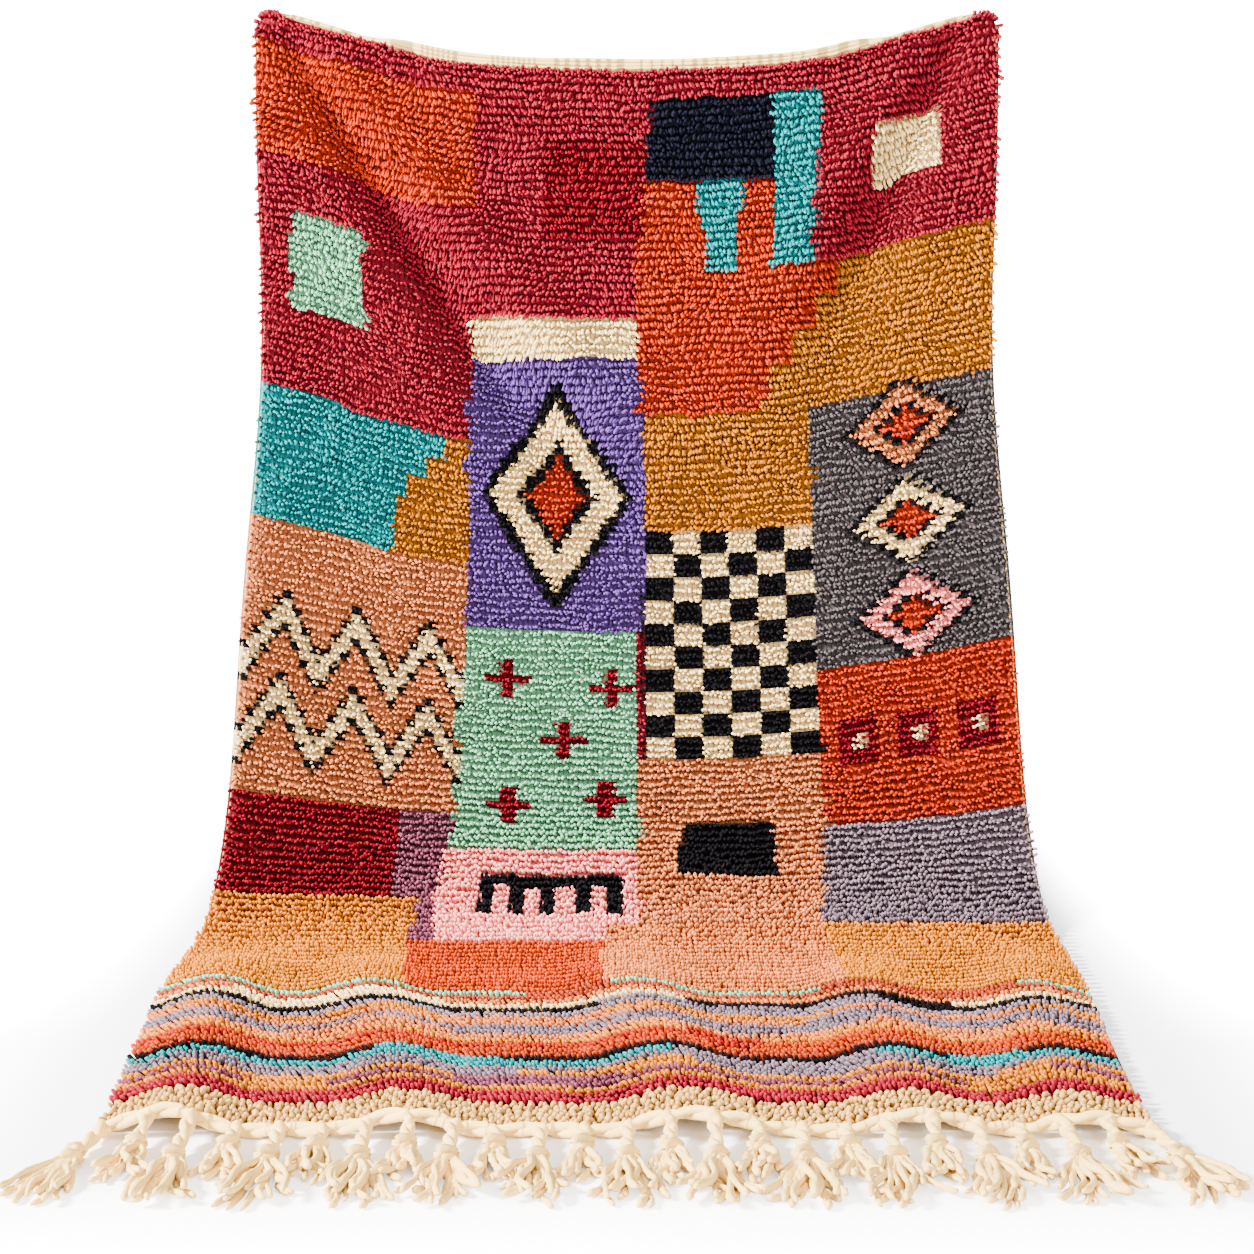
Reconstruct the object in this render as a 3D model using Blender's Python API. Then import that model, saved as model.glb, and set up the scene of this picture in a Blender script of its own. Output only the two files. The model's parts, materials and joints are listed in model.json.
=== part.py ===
"""A hand-knotted pile rug, hung by its two top corners, with its lower end lying forward on the floor.

The frame is metres, +Z up, with the origin at the middle of the top edge. +X runs along the top edge and -Y
comes forward, the way the lower end lies. The rug is one woven cloth, and its warp ends are gathered into a
heading cord and a row of knotted tassels along the front end.
"""

import math
from functools import lru_cache

import bmesh
import bpy
import numpy as np
from mathutils import Vector

# The cloth, in metres.
RUG_WIDTH = 1.00
CLOTH_LENGTH = 1.75
TOP_BAND = 0.016  # the flat-woven end above the pile
BAND_TURN_FROM = 0.27  # from here out to the corners the band is turned back behind the pile
BAND_TURN_TO = 0.36
BAND_TURN_DEG = 80
BAND_STEP = 0.004
PILE_THICKNESS = 0.015
BAND_THICKNESS = 0.005
SIDE_THICKNESS = 0.009
SIDE_TAPER = 0.010
EDGE_WANDER = 0.003  # how far a hand-woven edge strays
EDGE_WANDER_LENGTH = 0.62
FRONT_DRAW_IN = 0.007  # how much narrower each side is at the front end
FRONT_DRAW_FROM = 1.40
CORNER_RADIUS = 0.036  # past this round the corner's tip is turned back over what holds it

# How far the cloth leans forward of straight down, by its arc length from the top. The sides hang tight from
# the corners and come down steeper than the middle, which sags and reaches the floor sooner.
SIDE_LEAN = (  # arc_m, lean_deg
    (0.00, 2), (0.15, 7), (0.30, 9), (0.42, 17), (0.55, 25.5), (0.70, 31.5), (0.85, 36), (1.00, 38),
    (1.12, 43), (1.19, 53), (1.26, 74), (1.31, 88), (1.34, 90), (1.75, 90),
)
MIDDLE_LEAN = (  # arc_m, lean_deg
    (0.00, 3), (0.30, 7.5), (0.50, 16.5), (0.70, 28.5), (0.90, 40), (1.05, 52),
    (1.18, 69), (1.29, 84), (1.37, 90), (1.75, 90),
)
SIDE_SHARE_POWER = 2.5
SIDE_STRETCH = 0.015  # the sides carry the weight and are this much longer
STEPS = 350
RISE_STEPS = 8  # steps added above the top edge, for rows that are drawn up

# How far the rows beside each held corner are drawn up the cloth.
DRAWN_UP = (  # arc_m, left_m, right_m
    (0.00, 0.016, 0.016), (0.10, 0.019, 0.014), (0.33, 0.036, 0.010), (0.60, 0.026, 0.004),
    (0.80, 0.010, 0.000), (1.00, 0.000, 0.000), (1.75, 0.000, 0.000),
)
DRAWN_FROM = 0.21
DRAWN_TO = 0.45

# The folds that hang from the held corners, each a trough with a softer crest on the side of the middle.
LEFT_FOLD = (  # arc_m, across_m, depth_m, half_width_m
    (0.00, -0.460, 0.000, 0.030), (0.06, -0.440, 0.010, 0.036), (0.12, -0.405, 0.021, 0.045),
    (0.20, -0.350, 0.029, 0.054), (0.30, -0.280, 0.033, 0.062), (0.42, -0.190, 0.028, 0.070),
    (0.52, -0.110, 0.016, 0.080), (0.66, -0.020, 0.000, 0.090),
)
RIGHT_FOLD = (  # arc_m, across_m, depth_m, half_width_m
    (0.00, 0.455, 0.000, 0.030), (0.05, 0.435, 0.010, 0.034), (0.12, 0.400, 0.018, 0.042),
    (0.20, 0.360, 0.023, 0.050), (0.30, 0.322, 0.021, 0.056), (0.42, 0.292, 0.013, 0.062),
    (0.56, 0.270, 0.000, 0.070),
)
CREST_OFFSET = 1.9  # in half-widths
CREST_SHARE = 0.38

# The ripples of the end that lies on the floor, whose crests run towards the front.
RIPPLES = (  # across_at_start_m, across_at_front_m, height_m, half_width_m
    (-0.452, -0.425, 0.019, 0.075),
    (-0.310, -0.205, 0.015, 0.080),
    (-0.020, 0.065, 0.017, 0.090),
    (0.240, 0.275, 0.015, 0.080),
    (0.440, 0.425, 0.013, 0.068),
)
RIPPLE_START = 1.30
RIPPLE_FULL = 1.46

# The grid of the cloth.
COLUMNS = 33
ROWS = 60

# The fringe.
STITCH_GAP = 0.0003
HEADING_DEPTH = 0.016
HEADING_HEIGHT = 0.012
HEADING_INSET = 0.010
TASSELS = 25
ROOT_HALF_WIDTH = 0.009
FAN_OUT_DEG = 24.0
FAN_OUT_POWER = 7
SWAY_DEG = 1.0
STRANDS = 5
STRAND_HEIGHT = 0.0072
STRAND_HALF_WIDTH = 0.0029
TIP_HALF_WIDTH = 0.0026
LONG_STEM = (  # distance_m, half_width_m, bottom_share_of_root, thickness_m
    (0.016, 0.0085, 0.60, 0.012), (0.034, 0.0080, 0.0, 0.012), (0.041, 0.0130, 0.0, 0.021),
    (0.056, 0.0130, 0.0, 0.021), (0.063, 0.0125, 0.0, 0.0105),
)
SHORT_STEM = (  # distance_m, half_width_m, bottom_share_of_root, thickness_m
    (0.010, 0.0085, 0.60, 0.012), (0.017, 0.0080, 0.0, 0.012), (0.022, 0.0120, 0.0, 0.018),
    (0.033, 0.0120, 0.0, 0.018), (0.039, 0.0115, 0.0, 0.0100),
)
LONG_FAN = {"length": 0.066, "spread_deg": 20.0}
SHORT_FAN = {"length": 0.037, "spread_deg": 11.5}

PILE_COLOUR = (0.62, 0.16, 0.10, 1.0)
FRINGE_COLOUR = (0.82, 0.72, 0.56, 1.0)


def smooth_step(value):
    value = min(1.0, max(0.0, value))
    return value * value * (3 - 2 * value)


def clear_scene():
    for obj in list(bpy.data.objects):
        bpy.data.objects.remove(obj)


def wool(name, colour):
    """A matt wool finish."""
    material = bpy.data.materials.new(name)
    material.use_nodes = True
    shader = material.node_tree.nodes["Principled BSDF"]
    shader.inputs["Base Color"].default_value = colour
    shader.inputs["Roughness"].default_value = 0.95
    shader.inputs["Metallic"].default_value = 0.0
    material.diffuse_color = colour
    return material


@lru_cache(maxsize=None)
def hanging_line(across):
    """The arc, forward and height values of one lengthwise line of the cloth, added up from its front end."""
    step = CLOTH_LENGTH / STEPS
    arc = np.linspace(-RISE_STEPS * step, CLOTH_LENGTH, STEPS + RISE_STEPS + 1)
    share = abs(2 * across / RUG_WIDTH) ** SIDE_SHARE_POWER
    middle = np.interp(arc, *zip(*MIDDLE_LEAN))
    side = np.interp(arc, *zip(*SIDE_LEAN))
    lean = np.radians(middle + (side - middle) * share)
    lean = (lean[1:] + lean[:-1]) / 2
    step *= 1 + SIDE_STRETCH * share
    to_front = np.append(np.cumsum((np.sin(lean) * step)[::-1])[::-1], 0)
    height = np.append(np.cumsum((np.cos(lean) * step)[::-1])[::-1], 0)
    return arc, to_front, height


MIDDLE_LINE = hanging_line(0.0)
FRONT_Y = -float(MIDDLE_LINE[1][RISE_STEPS])
FLOOR_Z = -float(MIDDLE_LINE[2][RISE_STEPS])


def base_point(across, arc, line):
    """A point of the cloth's back before its folds are put in."""
    wander = EDGE_WANDER * math.sin(2 * math.pi * arc / EDGE_WANDER_LENGTH)
    drawn_in = FRONT_DRAW_IN * smooth_step((arc - FRONT_DRAW_FROM) / (CLOTH_LENGTH - FRONT_DRAW_FROM))
    wander = (wander - drawn_in) * 2 * across / RUG_WIDTH
    to_front = float(np.interp(arc, line[0], line[1]))
    height = float(np.interp(arc, line[0], line[2]))
    return Vector((across + wander, FRONT_Y + to_front, FLOOR_Z + height))


def frame_at(across, arc, line):
    """The point, the way down the cloth and the way out of its front there."""
    reach = 0.004
    low = min(arc + reach, CLOTH_LENGTH)
    high = arc - reach
    down = (base_point(across, low, line) - base_point(across, high, line)).normalized()
    out = Vector((1, 0, 0)).cross(down).normalized()
    if out.y > 0 or (abs(out.y) < 1e-6 and out.z < 0):
        out = -out
    return base_point(across, arc, line), down, out


def fold_depth(across, arc, fold, towards_middle):
    arcs, lines, depths, widths = zip(*fold)
    if arc > arcs[-1]:
        return 0.0
    depth = float(np.interp(arc, arcs, depths))
    width = float(np.interp(arc, arcs, widths))
    beside = (across - float(np.interp(arc, arcs, lines))) / width
    trough = math.exp(-beside * beside)
    crest = math.exp(-((beside - towards_middle * CREST_OFFSET) ** 2))
    return depth * (CREST_SHARE * crest - trough)


def ripple_height(across, arc):
    """How far a point of the lying end is lifted off the floor."""
    grown = smooth_step((arc - RIPPLE_START) / (RIPPLE_FULL - RIPPLE_START))
    along = (arc - RIPPLE_START) / (CLOTH_LENGTH - RIPPLE_START)
    lift = 0.0
    for start, front, height, half_width in RIPPLES:
        beside = (across - (start + (front - start) * along)) / half_width
        if abs(beside) < 1:
            lift += height * math.cos(beside * math.pi / 2) ** 2
    return grown * lift


def turned_back(across, arc):
    """For a point past the line where the cloth is turned back: its foot on that line, how far past it the
    point lies, and the way out over the line, as parts across and up the cloth. The line runs below the flat
    band and rounds both corners.
    """
    centre_across = RUG_WIDTH / 2 - CORNER_RADIUS
    centre_arc = TOP_BAND + CORNER_RADIUS
    beside = abs(across) - centre_across
    above = centre_arc - arc
    if beside <= 0 or above <= 0:
        return across, max(arc, TOP_BAND), max(TOP_BAND - arc, 0.0), 0.0, 1.0
    distance = math.hypot(beside, above)
    if distance <= CORNER_RADIUS:
        return across, arc, 0.0, 0.0, 1.0
    beside /= distance
    above /= distance
    foot_across = math.copysign(centre_across + CORNER_RADIUS * beside, across)
    foot_arc = centre_arc - CORNER_RADIUS * above
    return foot_across, foot_arc, distance - CORNER_RADIUS, math.copysign(beside, across), above


def drawn_up(across, arc):
    """How far the rows at this place are drawn up towards a held corner."""
    arcs, left, right = zip(*DRAWN_UP)
    most = float(np.interp(arc, arcs, left if across < 0 else right))
    return most * smooth_step((abs(across) - DRAWN_FROM) / (DRAWN_TO - DRAWN_FROM))


def thickness_at(across, arc):
    if arc < TOP_BAND + BAND_STEP / 2 or turned_back(across, arc)[2] > 0:
        return BAND_THICKNESS
    from_side = RUG_WIDTH / 2 - abs(across)
    share = smooth_step(from_side / SIDE_TAPER)
    return SIDE_THICKNESS + (PILE_THICKNESS - SIDE_THICKNESS) * share


def cloth_point(across, arc, raised):
    """A point on the cloth's back, or on its front where raised is 1."""
    thickness = thickness_at(across, arc)
    across, arc, past, sideways, upward = turned_back(across, arc)
    line = hanging_line(across)
    point, down, out = frame_at(across, arc - drawn_up(across, arc), line)
    folded = fold_depth(across, arc, LEFT_FOLD, 1) + fold_depth(across, arc, RIGHT_FOLD, -1)
    point += out * folded
    point.z += ripple_height(across, arc)
    if past > 0:
        share = smooth_step((abs(across) - BAND_TURN_FROM) / (BAND_TURN_TO - BAND_TURN_FROM))
        turn = math.radians(BAND_TURN_DEG * share)
        over = Vector((sideways, 0, 0)) - down * upward
        point += (over * math.cos(turn) - out * math.sin(turn)) * past
        out = out * math.cos(turn) + over * math.sin(turn)
    return point + out * (thickness * raised)


def grid_lines():
    """The places across and along the cloth where its grid has lines, closer at the sides and the top."""
    half = RUG_WIDTH / 2
    inner = half - 1.2 * CORNER_RADIUS
    side = [half - SIDE_TAPER * step for step in (0, 1, 2.4)]
    across = [-x for x in side] + list(np.linspace(-inner, inner, COLUMNS)) + side[::-1]
    top = TOP_BAND + BAND_STEP
    below = TOP_BAND + CORNER_RADIUS
    along = [0.0, TOP_BAND, top, (top + below) / 2, *np.linspace(below, CLOTH_LENGTH, ROWS)]
    return [float(x) for x in across], [float(x) for x in along]


def make_cloth():
    """The whole rug as one closed sheet: a grid laid on its back, extruded to its pile."""
    across, along = grid_lines()
    bm = bmesh.new()
    bmesh.ops.create_grid(bm, x_segments=len(across) - 1, y_segments=len(along) - 1, size=0.5)
    place = {}
    for vert in bm.verts:
        column = round((vert.co.x + 0.5) * (len(across) - 1))
        row = round((vert.co.y + 0.5) * (len(along) - 1))
        place[vert] = (across[column], along[row])
        vert.co = Vector((column, row, 0))
    back = list(bm.verts)
    made = bmesh.ops.extrude_face_region(bm, geom=list(bm.faces))
    front = [item for item in made["geom"] if isinstance(item, bmesh.types.BMVert)]
    for vert in front:
        place[vert] = (across[round(vert.co.x)], along[round(vert.co.y)])
        vert.co = cloth_point(*place[vert], 1)
    for vert in back:
        vert.co = cloth_point(*place[vert], 0)
    return finish(bm, "pile_cloth", wool("pile wool", PILE_COLOUR))


def tassel_places():
    """Where each tassel leaves the heading, and which way it points, in order across the rug."""
    pitch = (RUG_WIDTH - 2 * HEADING_INSET - 2 * ROOT_HALF_WIDTH) / (TASSELS - 1)
    for number in range(TASSELS):
        across = (number - (TASSELS - 1) / 2) * pitch
        sway = SWAY_DEG * math.sin(2.3 * number)
        turn = FAN_OUT_DEG * (2 * across / RUG_WIDTH) ** FAN_OUT_POWER + sway
        yield number, across, math.radians(turn)


def heading_ring(bm, across):
    """The four corners of the heading cord's section at one place across the rug."""
    back = FRONT_Y - STITCH_GAP
    front = back - HEADING_DEPTH
    low = FLOOR_Z + ripple_height(across, CLOTH_LENGTH)
    high = low + HEADING_HEIGHT
    corners = ((back, low), (front, low), (front, high), (back, high))
    return [bm.verts.new((across, y, z)) for y, z in corners]


def push_face(bm, face, centre, side, half_width, low, high):
    """Extrudes one face to a new upright end, and returns the new end's face."""
    middle = face.calc_center_median()
    end = bmesh.ops.extrude_discrete_faces(bm, faces=[face])["faces"][0]
    for vert in end.verts:
        which = 1 if (vert.co - middle).dot(side) > 0 else -1
        level = high if vert.co.z > middle.z else low
        flat = centre + side * (which * half_width)
        vert.co = Vector((flat.x, flat.y, level))
    return end


def split_end(bm, face, side):
    """Cuts an upright end face into one piece for each strand, in order along its width."""
    flat_edges = [e for e in face.edges if abs(e.verts[0].co.z - e.verts[1].co.z) < 1e-6]
    before = set(bm.faces) - {face}
    bmesh.ops.subdivide_edges(bm, edges=flat_edges, cuts=STRANDS - 1)
    pieces = [f for f in bm.faces if f not in before]
    return sorted(pieces, key=lambda f: f.calc_center_median().dot(side))


def make_tassel(bm, root, turn, stem, fan):
    """A knotted tassel that grows out of one face of the heading and rests on the floor."""
    ahead = Vector((math.sin(turn), -math.cos(turn), 0))
    side = Vector((math.cos(turn), math.sin(turn), 0))
    start = root.calc_center_median()
    root_low = min(v.co.z for v in root.verts) - FLOOR_Z
    face = root
    for distance, half_width, bottom_share, thickness in stem:
        centre = start + ahead * distance
        low = FLOOR_Z + root_low * bottom_share
        face = push_face(bm, face, centre, side, half_width, low, low + thickness)
    for number, piece in enumerate(split_end(bm, face, side)):
        share = 2 * number / (STRANDS - 1) - 1
        bend = math.radians(fan["spread_deg"]) * share
        way = ahead * math.cos(bend) + side * math.sin(bend)
        across_way = side * math.cos(bend) - ahead * math.sin(bend)
        begin = piece.calc_center_median()
        for part in (0.45, 1.0):
            centre = begin + way * (fan["length"] * part)
            half_width = STRAND_HALF_WIDTH + (TIP_HALF_WIDTH - STRAND_HALF_WIDTH) * part
            high = FLOOR_Z + STRAND_HEIGHT
            piece = push_face(bm, piece, centre, across_way, half_width, FLOOR_Z, high)


def make_fringe():
    """The heading cord along the front end, with every tassel drawn out of its front."""
    places = list(tassel_places())
    inset = RUG_WIDTH / 2 - HEADING_INSET
    columns = [-inset] if places[0][1] - ROOT_HALF_WIDTH > -inset + 1e-6 else []
    for _, across, _ in places:
        columns += [across - ROOT_HALF_WIDTH, across + ROOT_HALF_WIDTH]
    if columns[-1] < inset - 1e-6:
        columns.append(inset)
    bm = bmesh.new()
    rings = [heading_ring(bm, across) for across in columns]
    fronts = []
    for first, second in zip(rings, rings[1:]):
        for low in range(4):
            high = (low + 1) % 4
            face = bm.faces.new((first[low], first[high], second[high], second[low]))
            if low == 1:
                fronts.append(face)
    bm.faces.new(rings[0][::-1])
    bm.faces.new(rings[-1])
    middles = {round(f.calc_center_median().x, 5): f for f in fronts}
    for number, across, turn in places:
        is_long = number % 2 == 0
        stem, fan = (LONG_STEM, LONG_FAN) if is_long else (SHORT_STEM, SHORT_FAN)
        make_tassel(bm, middles[round(across, 5)], turn, stem, fan)
    return finish(bm, "tassel_fringe", wool("undyed wool", FRINGE_COLOUR))


def finish(bm, name, material):
    """Turns the shell's faces outwards and places it in the scene as one named object."""
    bmesh.ops.recalc_face_normals(bm, faces=list(bm.faces))
    if bm.calc_volume(signed=True) < 0:
        bmesh.ops.reverse_faces(bm, faces=list(bm.faces))
    mesh = bpy.data.meshes.new(name)
    bm.to_mesh(mesh)
    bm.free()
    mesh.materials.append(material)
    obj = bpy.data.objects.new(name, mesh)
    bpy.context.scene.collection.objects.link(obj)
    return obj


def main():
    clear_scene()
    make_cloth()
    make_fringe()
    print(f"floor at z = {FLOOR_Z:.4f}, front edge at y = {FRONT_Y:.4f}")


main()
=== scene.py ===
"""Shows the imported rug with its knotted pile, woven ground, twined heading and loose-ended tassels."""

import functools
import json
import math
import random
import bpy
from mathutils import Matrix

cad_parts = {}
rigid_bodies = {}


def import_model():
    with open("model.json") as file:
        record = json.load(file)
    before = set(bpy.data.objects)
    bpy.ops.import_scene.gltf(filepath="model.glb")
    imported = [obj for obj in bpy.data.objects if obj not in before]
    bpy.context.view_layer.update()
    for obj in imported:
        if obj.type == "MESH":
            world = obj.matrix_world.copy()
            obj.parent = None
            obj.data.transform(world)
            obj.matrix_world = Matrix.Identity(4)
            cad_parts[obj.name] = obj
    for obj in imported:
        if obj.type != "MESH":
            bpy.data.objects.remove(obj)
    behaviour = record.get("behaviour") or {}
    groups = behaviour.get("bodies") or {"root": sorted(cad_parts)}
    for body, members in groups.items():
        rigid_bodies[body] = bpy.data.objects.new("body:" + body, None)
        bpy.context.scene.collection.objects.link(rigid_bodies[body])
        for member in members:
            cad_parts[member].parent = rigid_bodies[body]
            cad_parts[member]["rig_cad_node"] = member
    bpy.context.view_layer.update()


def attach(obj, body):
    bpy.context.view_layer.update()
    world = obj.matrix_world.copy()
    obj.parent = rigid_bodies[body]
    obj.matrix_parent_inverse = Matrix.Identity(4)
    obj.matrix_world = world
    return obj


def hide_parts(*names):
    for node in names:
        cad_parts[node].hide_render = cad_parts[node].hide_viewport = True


bl_info = {
    "name": "Hand-knotted pile rug",
    "version": (1, 0, 0),
    "blender": (4, 5, 0),
    "location": "View3D > Sidebar > Rug",
    "description": "Knots the pile, ground, heading and tassels of a draped rug onto its packed frame",
    "category": "Object",
}

import bmesh
import bpy
import numpy as np
from bpy.props import FloatProperty, FloatVectorProperty, IntProperty, PointerProperty
from mathutils import Vector

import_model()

# The cloth's lie, in metres, as its solid has it.
RUG_WIDTH = 1.00
CLOTH_LENGTH = 1.75
TOP_BAND = 0.016
BAND_TURN_FROM = 0.27
BAND_TURN_TO = 0.36
BAND_TURN_DEG = 80
EDGE_WANDER = 0.003
EDGE_WANDER_LENGTH = 0.62
FRONT_DRAW_IN = 0.007
FRONT_DRAW_FROM = 1.40
CORNER_RADIUS = 0.036
TABLE_ACROSS = 161
TABLE_ALONG = 351
TABLE_REACH = 0.004
SIDE_LEAN = (  # arc_m, lean_deg
    (0.00, 2), (0.15, 7), (0.30, 9), (0.42, 17), (0.55, 25.5), (0.70, 31.5), (0.85, 36), (1.00, 38),
    (1.12, 43), (1.19, 53), (1.26, 74), (1.31, 88), (1.34, 90), (1.75, 90),
)
MIDDLE_LEAN = (  # arc_m, lean_deg
    (0.00, 3), (0.30, 7.5), (0.50, 16.5), (0.70, 28.5), (0.90, 40), (1.05, 52),
    (1.18, 69), (1.29, 84), (1.37, 90), (1.75, 90),
)
SIDE_SHARE_POWER = 2.5
SIDE_STRETCH = 0.015
STEPS = 350
RISE_STEPS = 8
DRAWN_UP = (  # arc_m, left_m, right_m
    (0.00, 0.016, 0.016), (0.10, 0.019, 0.014), (0.33, 0.036, 0.010), (0.60, 0.026, 0.004),
    (0.80, 0.010, 0.000), (1.00, 0.000, 0.000), (1.75, 0.000, 0.000),
)
DRAWN_FROM = 0.21
DRAWN_TO = 0.45
LEFT_FOLD = (  # arc_m, across_m, depth_m, half_width_m
    (0.00, -0.460, 0.000, 0.030), (0.06, -0.440, 0.010, 0.036), (0.12, -0.405, 0.021, 0.045),
    (0.20, -0.350, 0.029, 0.054), (0.30, -0.280, 0.033, 0.062), (0.42, -0.190, 0.028, 0.070),
    (0.52, -0.110, 0.016, 0.080), (0.66, -0.020, 0.000, 0.090),
)
RIGHT_FOLD = (  # arc_m, across_m, depth_m, half_width_m
    (0.00, 0.455, 0.000, 0.030), (0.05, 0.435, 0.010, 0.034), (0.12, 0.400, 0.018, 0.042),
    (0.20, 0.360, 0.023, 0.050), (0.30, 0.322, 0.021, 0.056), (0.42, 0.292, 0.013, 0.062),
    (0.56, 0.270, 0.000, 0.070),
)
CREST_OFFSET = 1.9
CREST_SHARE = 0.38
FOLD_OUTER = 0.68  # how much narrower the visible fold is on its outer side
FOLD_SWELL = 1.15  # how much deeper it is for the pile's sake
RIPPLES = (  # across_at_start_m, across_at_front_m, height_m, half_width_m
    (-0.452, -0.425, 0.019, 0.075),
    (-0.310, -0.205, 0.015, 0.080),
    (-0.020, 0.065, 0.017, 0.090),
    (0.240, 0.275, 0.015, 0.080),
    (0.440, 0.425, 0.013, 0.068),
)
RIPPLE_START = 1.30
RIPPLE_FULL = 1.46

# The tassels' places, as the fringe's solid has them.
HEADING_DEPTH = 0.016
HEADING_INSET = 0.010
ROOT_HALF_WIDTH = 0.009
TASSELS = 25
FAN_OUT_DEG = 24.0
FAN_OUT_POWER = 7
SWAY_DEG = 1.0

# The dyes, in linear light.
DYES = {
    "raspberry": (0.225, 0.007, 0.018),
    "vermilion": (0.380, 0.017, 0.000),
    "turquoise": (0.001, 0.210, 0.215),
    "navy": (0.006, 0.006, 0.012),
    "ochre": (0.370, 0.112, 0.000),
    "burgundy": (0.150, 0.002, 0.008),
    "purple": (0.100, 0.044, 0.190),
    "cream": (0.950, 0.650, 0.280),
    "salmon": (0.540, 0.160, 0.050),
    "mint": (0.185, 0.445, 0.250),
    "pink": (0.980, 0.260, 0.235),
    "mauve": (0.165, 0.043, 0.070),
    "grey": (0.076, 0.060, 0.060),
    "black": (0.006, 0.005, 0.006),
    "amber": (0.520, 0.150, 0.000),
    "tangerine": (0.430, 0.032, 0.000),
    "peach": (0.560, 0.145, 0.032),
    "lavender": (0.170, 0.118, 0.140),
    "rust": (0.270, 0.032, 0.011),
    "red": (0.330, 0.011, 0.004),
    "tan": (0.580, 0.320, 0.082),
    "undyed": (0.800, 0.530, 0.165),
}

# The patchwork, in knots: its columns are yarn ends and its rows are rows of knots.
YARN_COLUMNS = 160
PILE_ROWS = 158
FIELDS = (  # dye, left, right, top, bottom
    ("vermilion", 0, 47, 0, 17),
    ("raspberry", 0, 45, 17, 46),
    ("turquoise", 0, 30, 46, 62),
    ("ochre", 30, 47, 46, 62),
    ("salmon", 0, 46, 62, 95),
    ("burgundy", 0, 34, 95, 108),
    ("mauve", 34, 46, 95, 117),
    ("amber", 0, 40, 108, 130),
    ("raspberry", 47, 84, 0, 30),
    ("cream", 45, 84, 30, 35),
    ("purple", 45, 84, 35, 70),
    ("mint", 46, 82, 70, 100),
    ("pink", 44, 84, 100, 117),
    ("tangerine", 40, 76, 117, 130),
    ("navy", 84, 112, 0, 13),
    ("turquoise", 112, 122, 0, 26),
    ("vermilion", 82, 112, 13, 42),
    ("turquoise", 96, 104, 13, 24),
    ("ochre", 84, 120, 42, 57),
    ("black", 84, 120, 57, 87),
    ("salmon", 82, 120, 87, 113),
    ("peach", 76, 120, 113, 130),
    ("raspberry", 122, 160, 0, 24),
    ("ochre", 110, 160, 24, 42),
    ("grey", 120, 160, 42, 76),
    ("vermilion", 120, 160, 76, 97),
    ("lavender", 118, 160, 97, 113),
    ("amber", 118, 160, 113, 130),
    ("mint", 6, 22, 24, 36),
    ("burgundy", 62, 84, 8, 20),
    ("cream", 134, 148, 9, 16),
    ("black", 92, 108, 96, 104),
)
STAIRS = (  # left, top, treads, tread, riser, dye
    (106, 24, 4, 5, 4, "vermilion"),
    (28, 46, 3, 4, 3, "turquoise"),
)
CHEQUER = (84, 57, 6, 10, 6, 3)  # left, top, cells across and down, knots across and down in a cell
DIAMONDS = (  # column, row, half_width, half_height, fill
    (64, 52, 17, 15, "cream"),
    (140, 46, 14, 6, "salmon"),
    (140, 58, 14, 6, "cream"),
    (140, 70, 14, 6, "pink"),
)
DIAMOND_RINGS = ((0.36, "vermilion"), (0.50, "black"), (0.84, None), (1.0, "black"))  # reach, dye or the fill
ZIGZAGS = ((0, 45, 70), (0, 45, 80))  # left, right, row
ZIGZAG_HEIGHT = 7
ZIGZAG_PERIOD = 15
ZIGZAG_THICKNESS = 3
CROSSES = ((54, 76), (66, 84), (76, 77), (55, 93), (75, 92))  # column, row
COMB = (51, 79, 104, 5)  # left, right, row, teeth
COMB_TOOTH = 3
COMB_DROP = 7
SQUARE_COLUMNS = (128, 140, 152)
SQUARE_ROW = 83
WAVER_REACH = 1.3  # how many knots a field's side wanders
WAVER_WINDOW = 15
WAVER_GAIN = 2.2  # makes up for the averaging over the window
TOP_BORDER_ROWS = 3
STRIPES_FROM = 130
STRIPES = (  # dye, rows
    ("mint", 1), ("rust", 1), ("peach", 1), ("cream", 1), ("black", 1), ("lavender", 1), ("amber", 1),
    ("peach", 1), ("lavender", 2), ("peach", 1), ("amber", 1), ("red", 1), ("tangerine", 1), ("rust", 1),
    ("black", 1), ("turquoise", 1), ("lavender", 2), ("amber", 1), ("mauve", 1), ("amber", 1),
    ("raspberry", 2),
)
GROUND_STEP = 2  # yarn columns in one column of the ground's faces
BAND_ROWS = 2  # rows of faces in its flat band
LOOP_ROWS_FROM = 154
LOOP_ROWS = 6
LOOPS_ACROSS = 176
ENDS_PER_COLUMN = 2  # the two cut ends of each knot's yarn
END_STAGGER = 0.0009  # how far a knot's two ends stand before and behind its row
TOP_EDGE_ROWS = 2  # rows of shorter pitch that cover the pile's top edge
CORNER_PILE = 0.012  # how far the pile goes on past the fold of a turned-back corner
CALM_FROM = 1.22  # from here on the rows lie more evenly
CALM_OVER = 0.14
LAID_FROM = 1.435  # from here on the yarn ends lie along their rows
LAID_OVER = 0.02
LAID_STAGGER = 0.0016
LAID_SIDEWAYS = 1.15
LAID_LEAN = 24.0
EDGE_SPLAY = 0.62  # how far the ends at the sides turn outward, in radians
BARE_EDGE = (0.36, 1.16, 0.35)  # on the left, where from and to the binding shows, and the splay there
OUTWARD_FROM = 0.487  # from here out the ends at the sides splay
OUTWARD_OVER = 0.012

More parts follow.
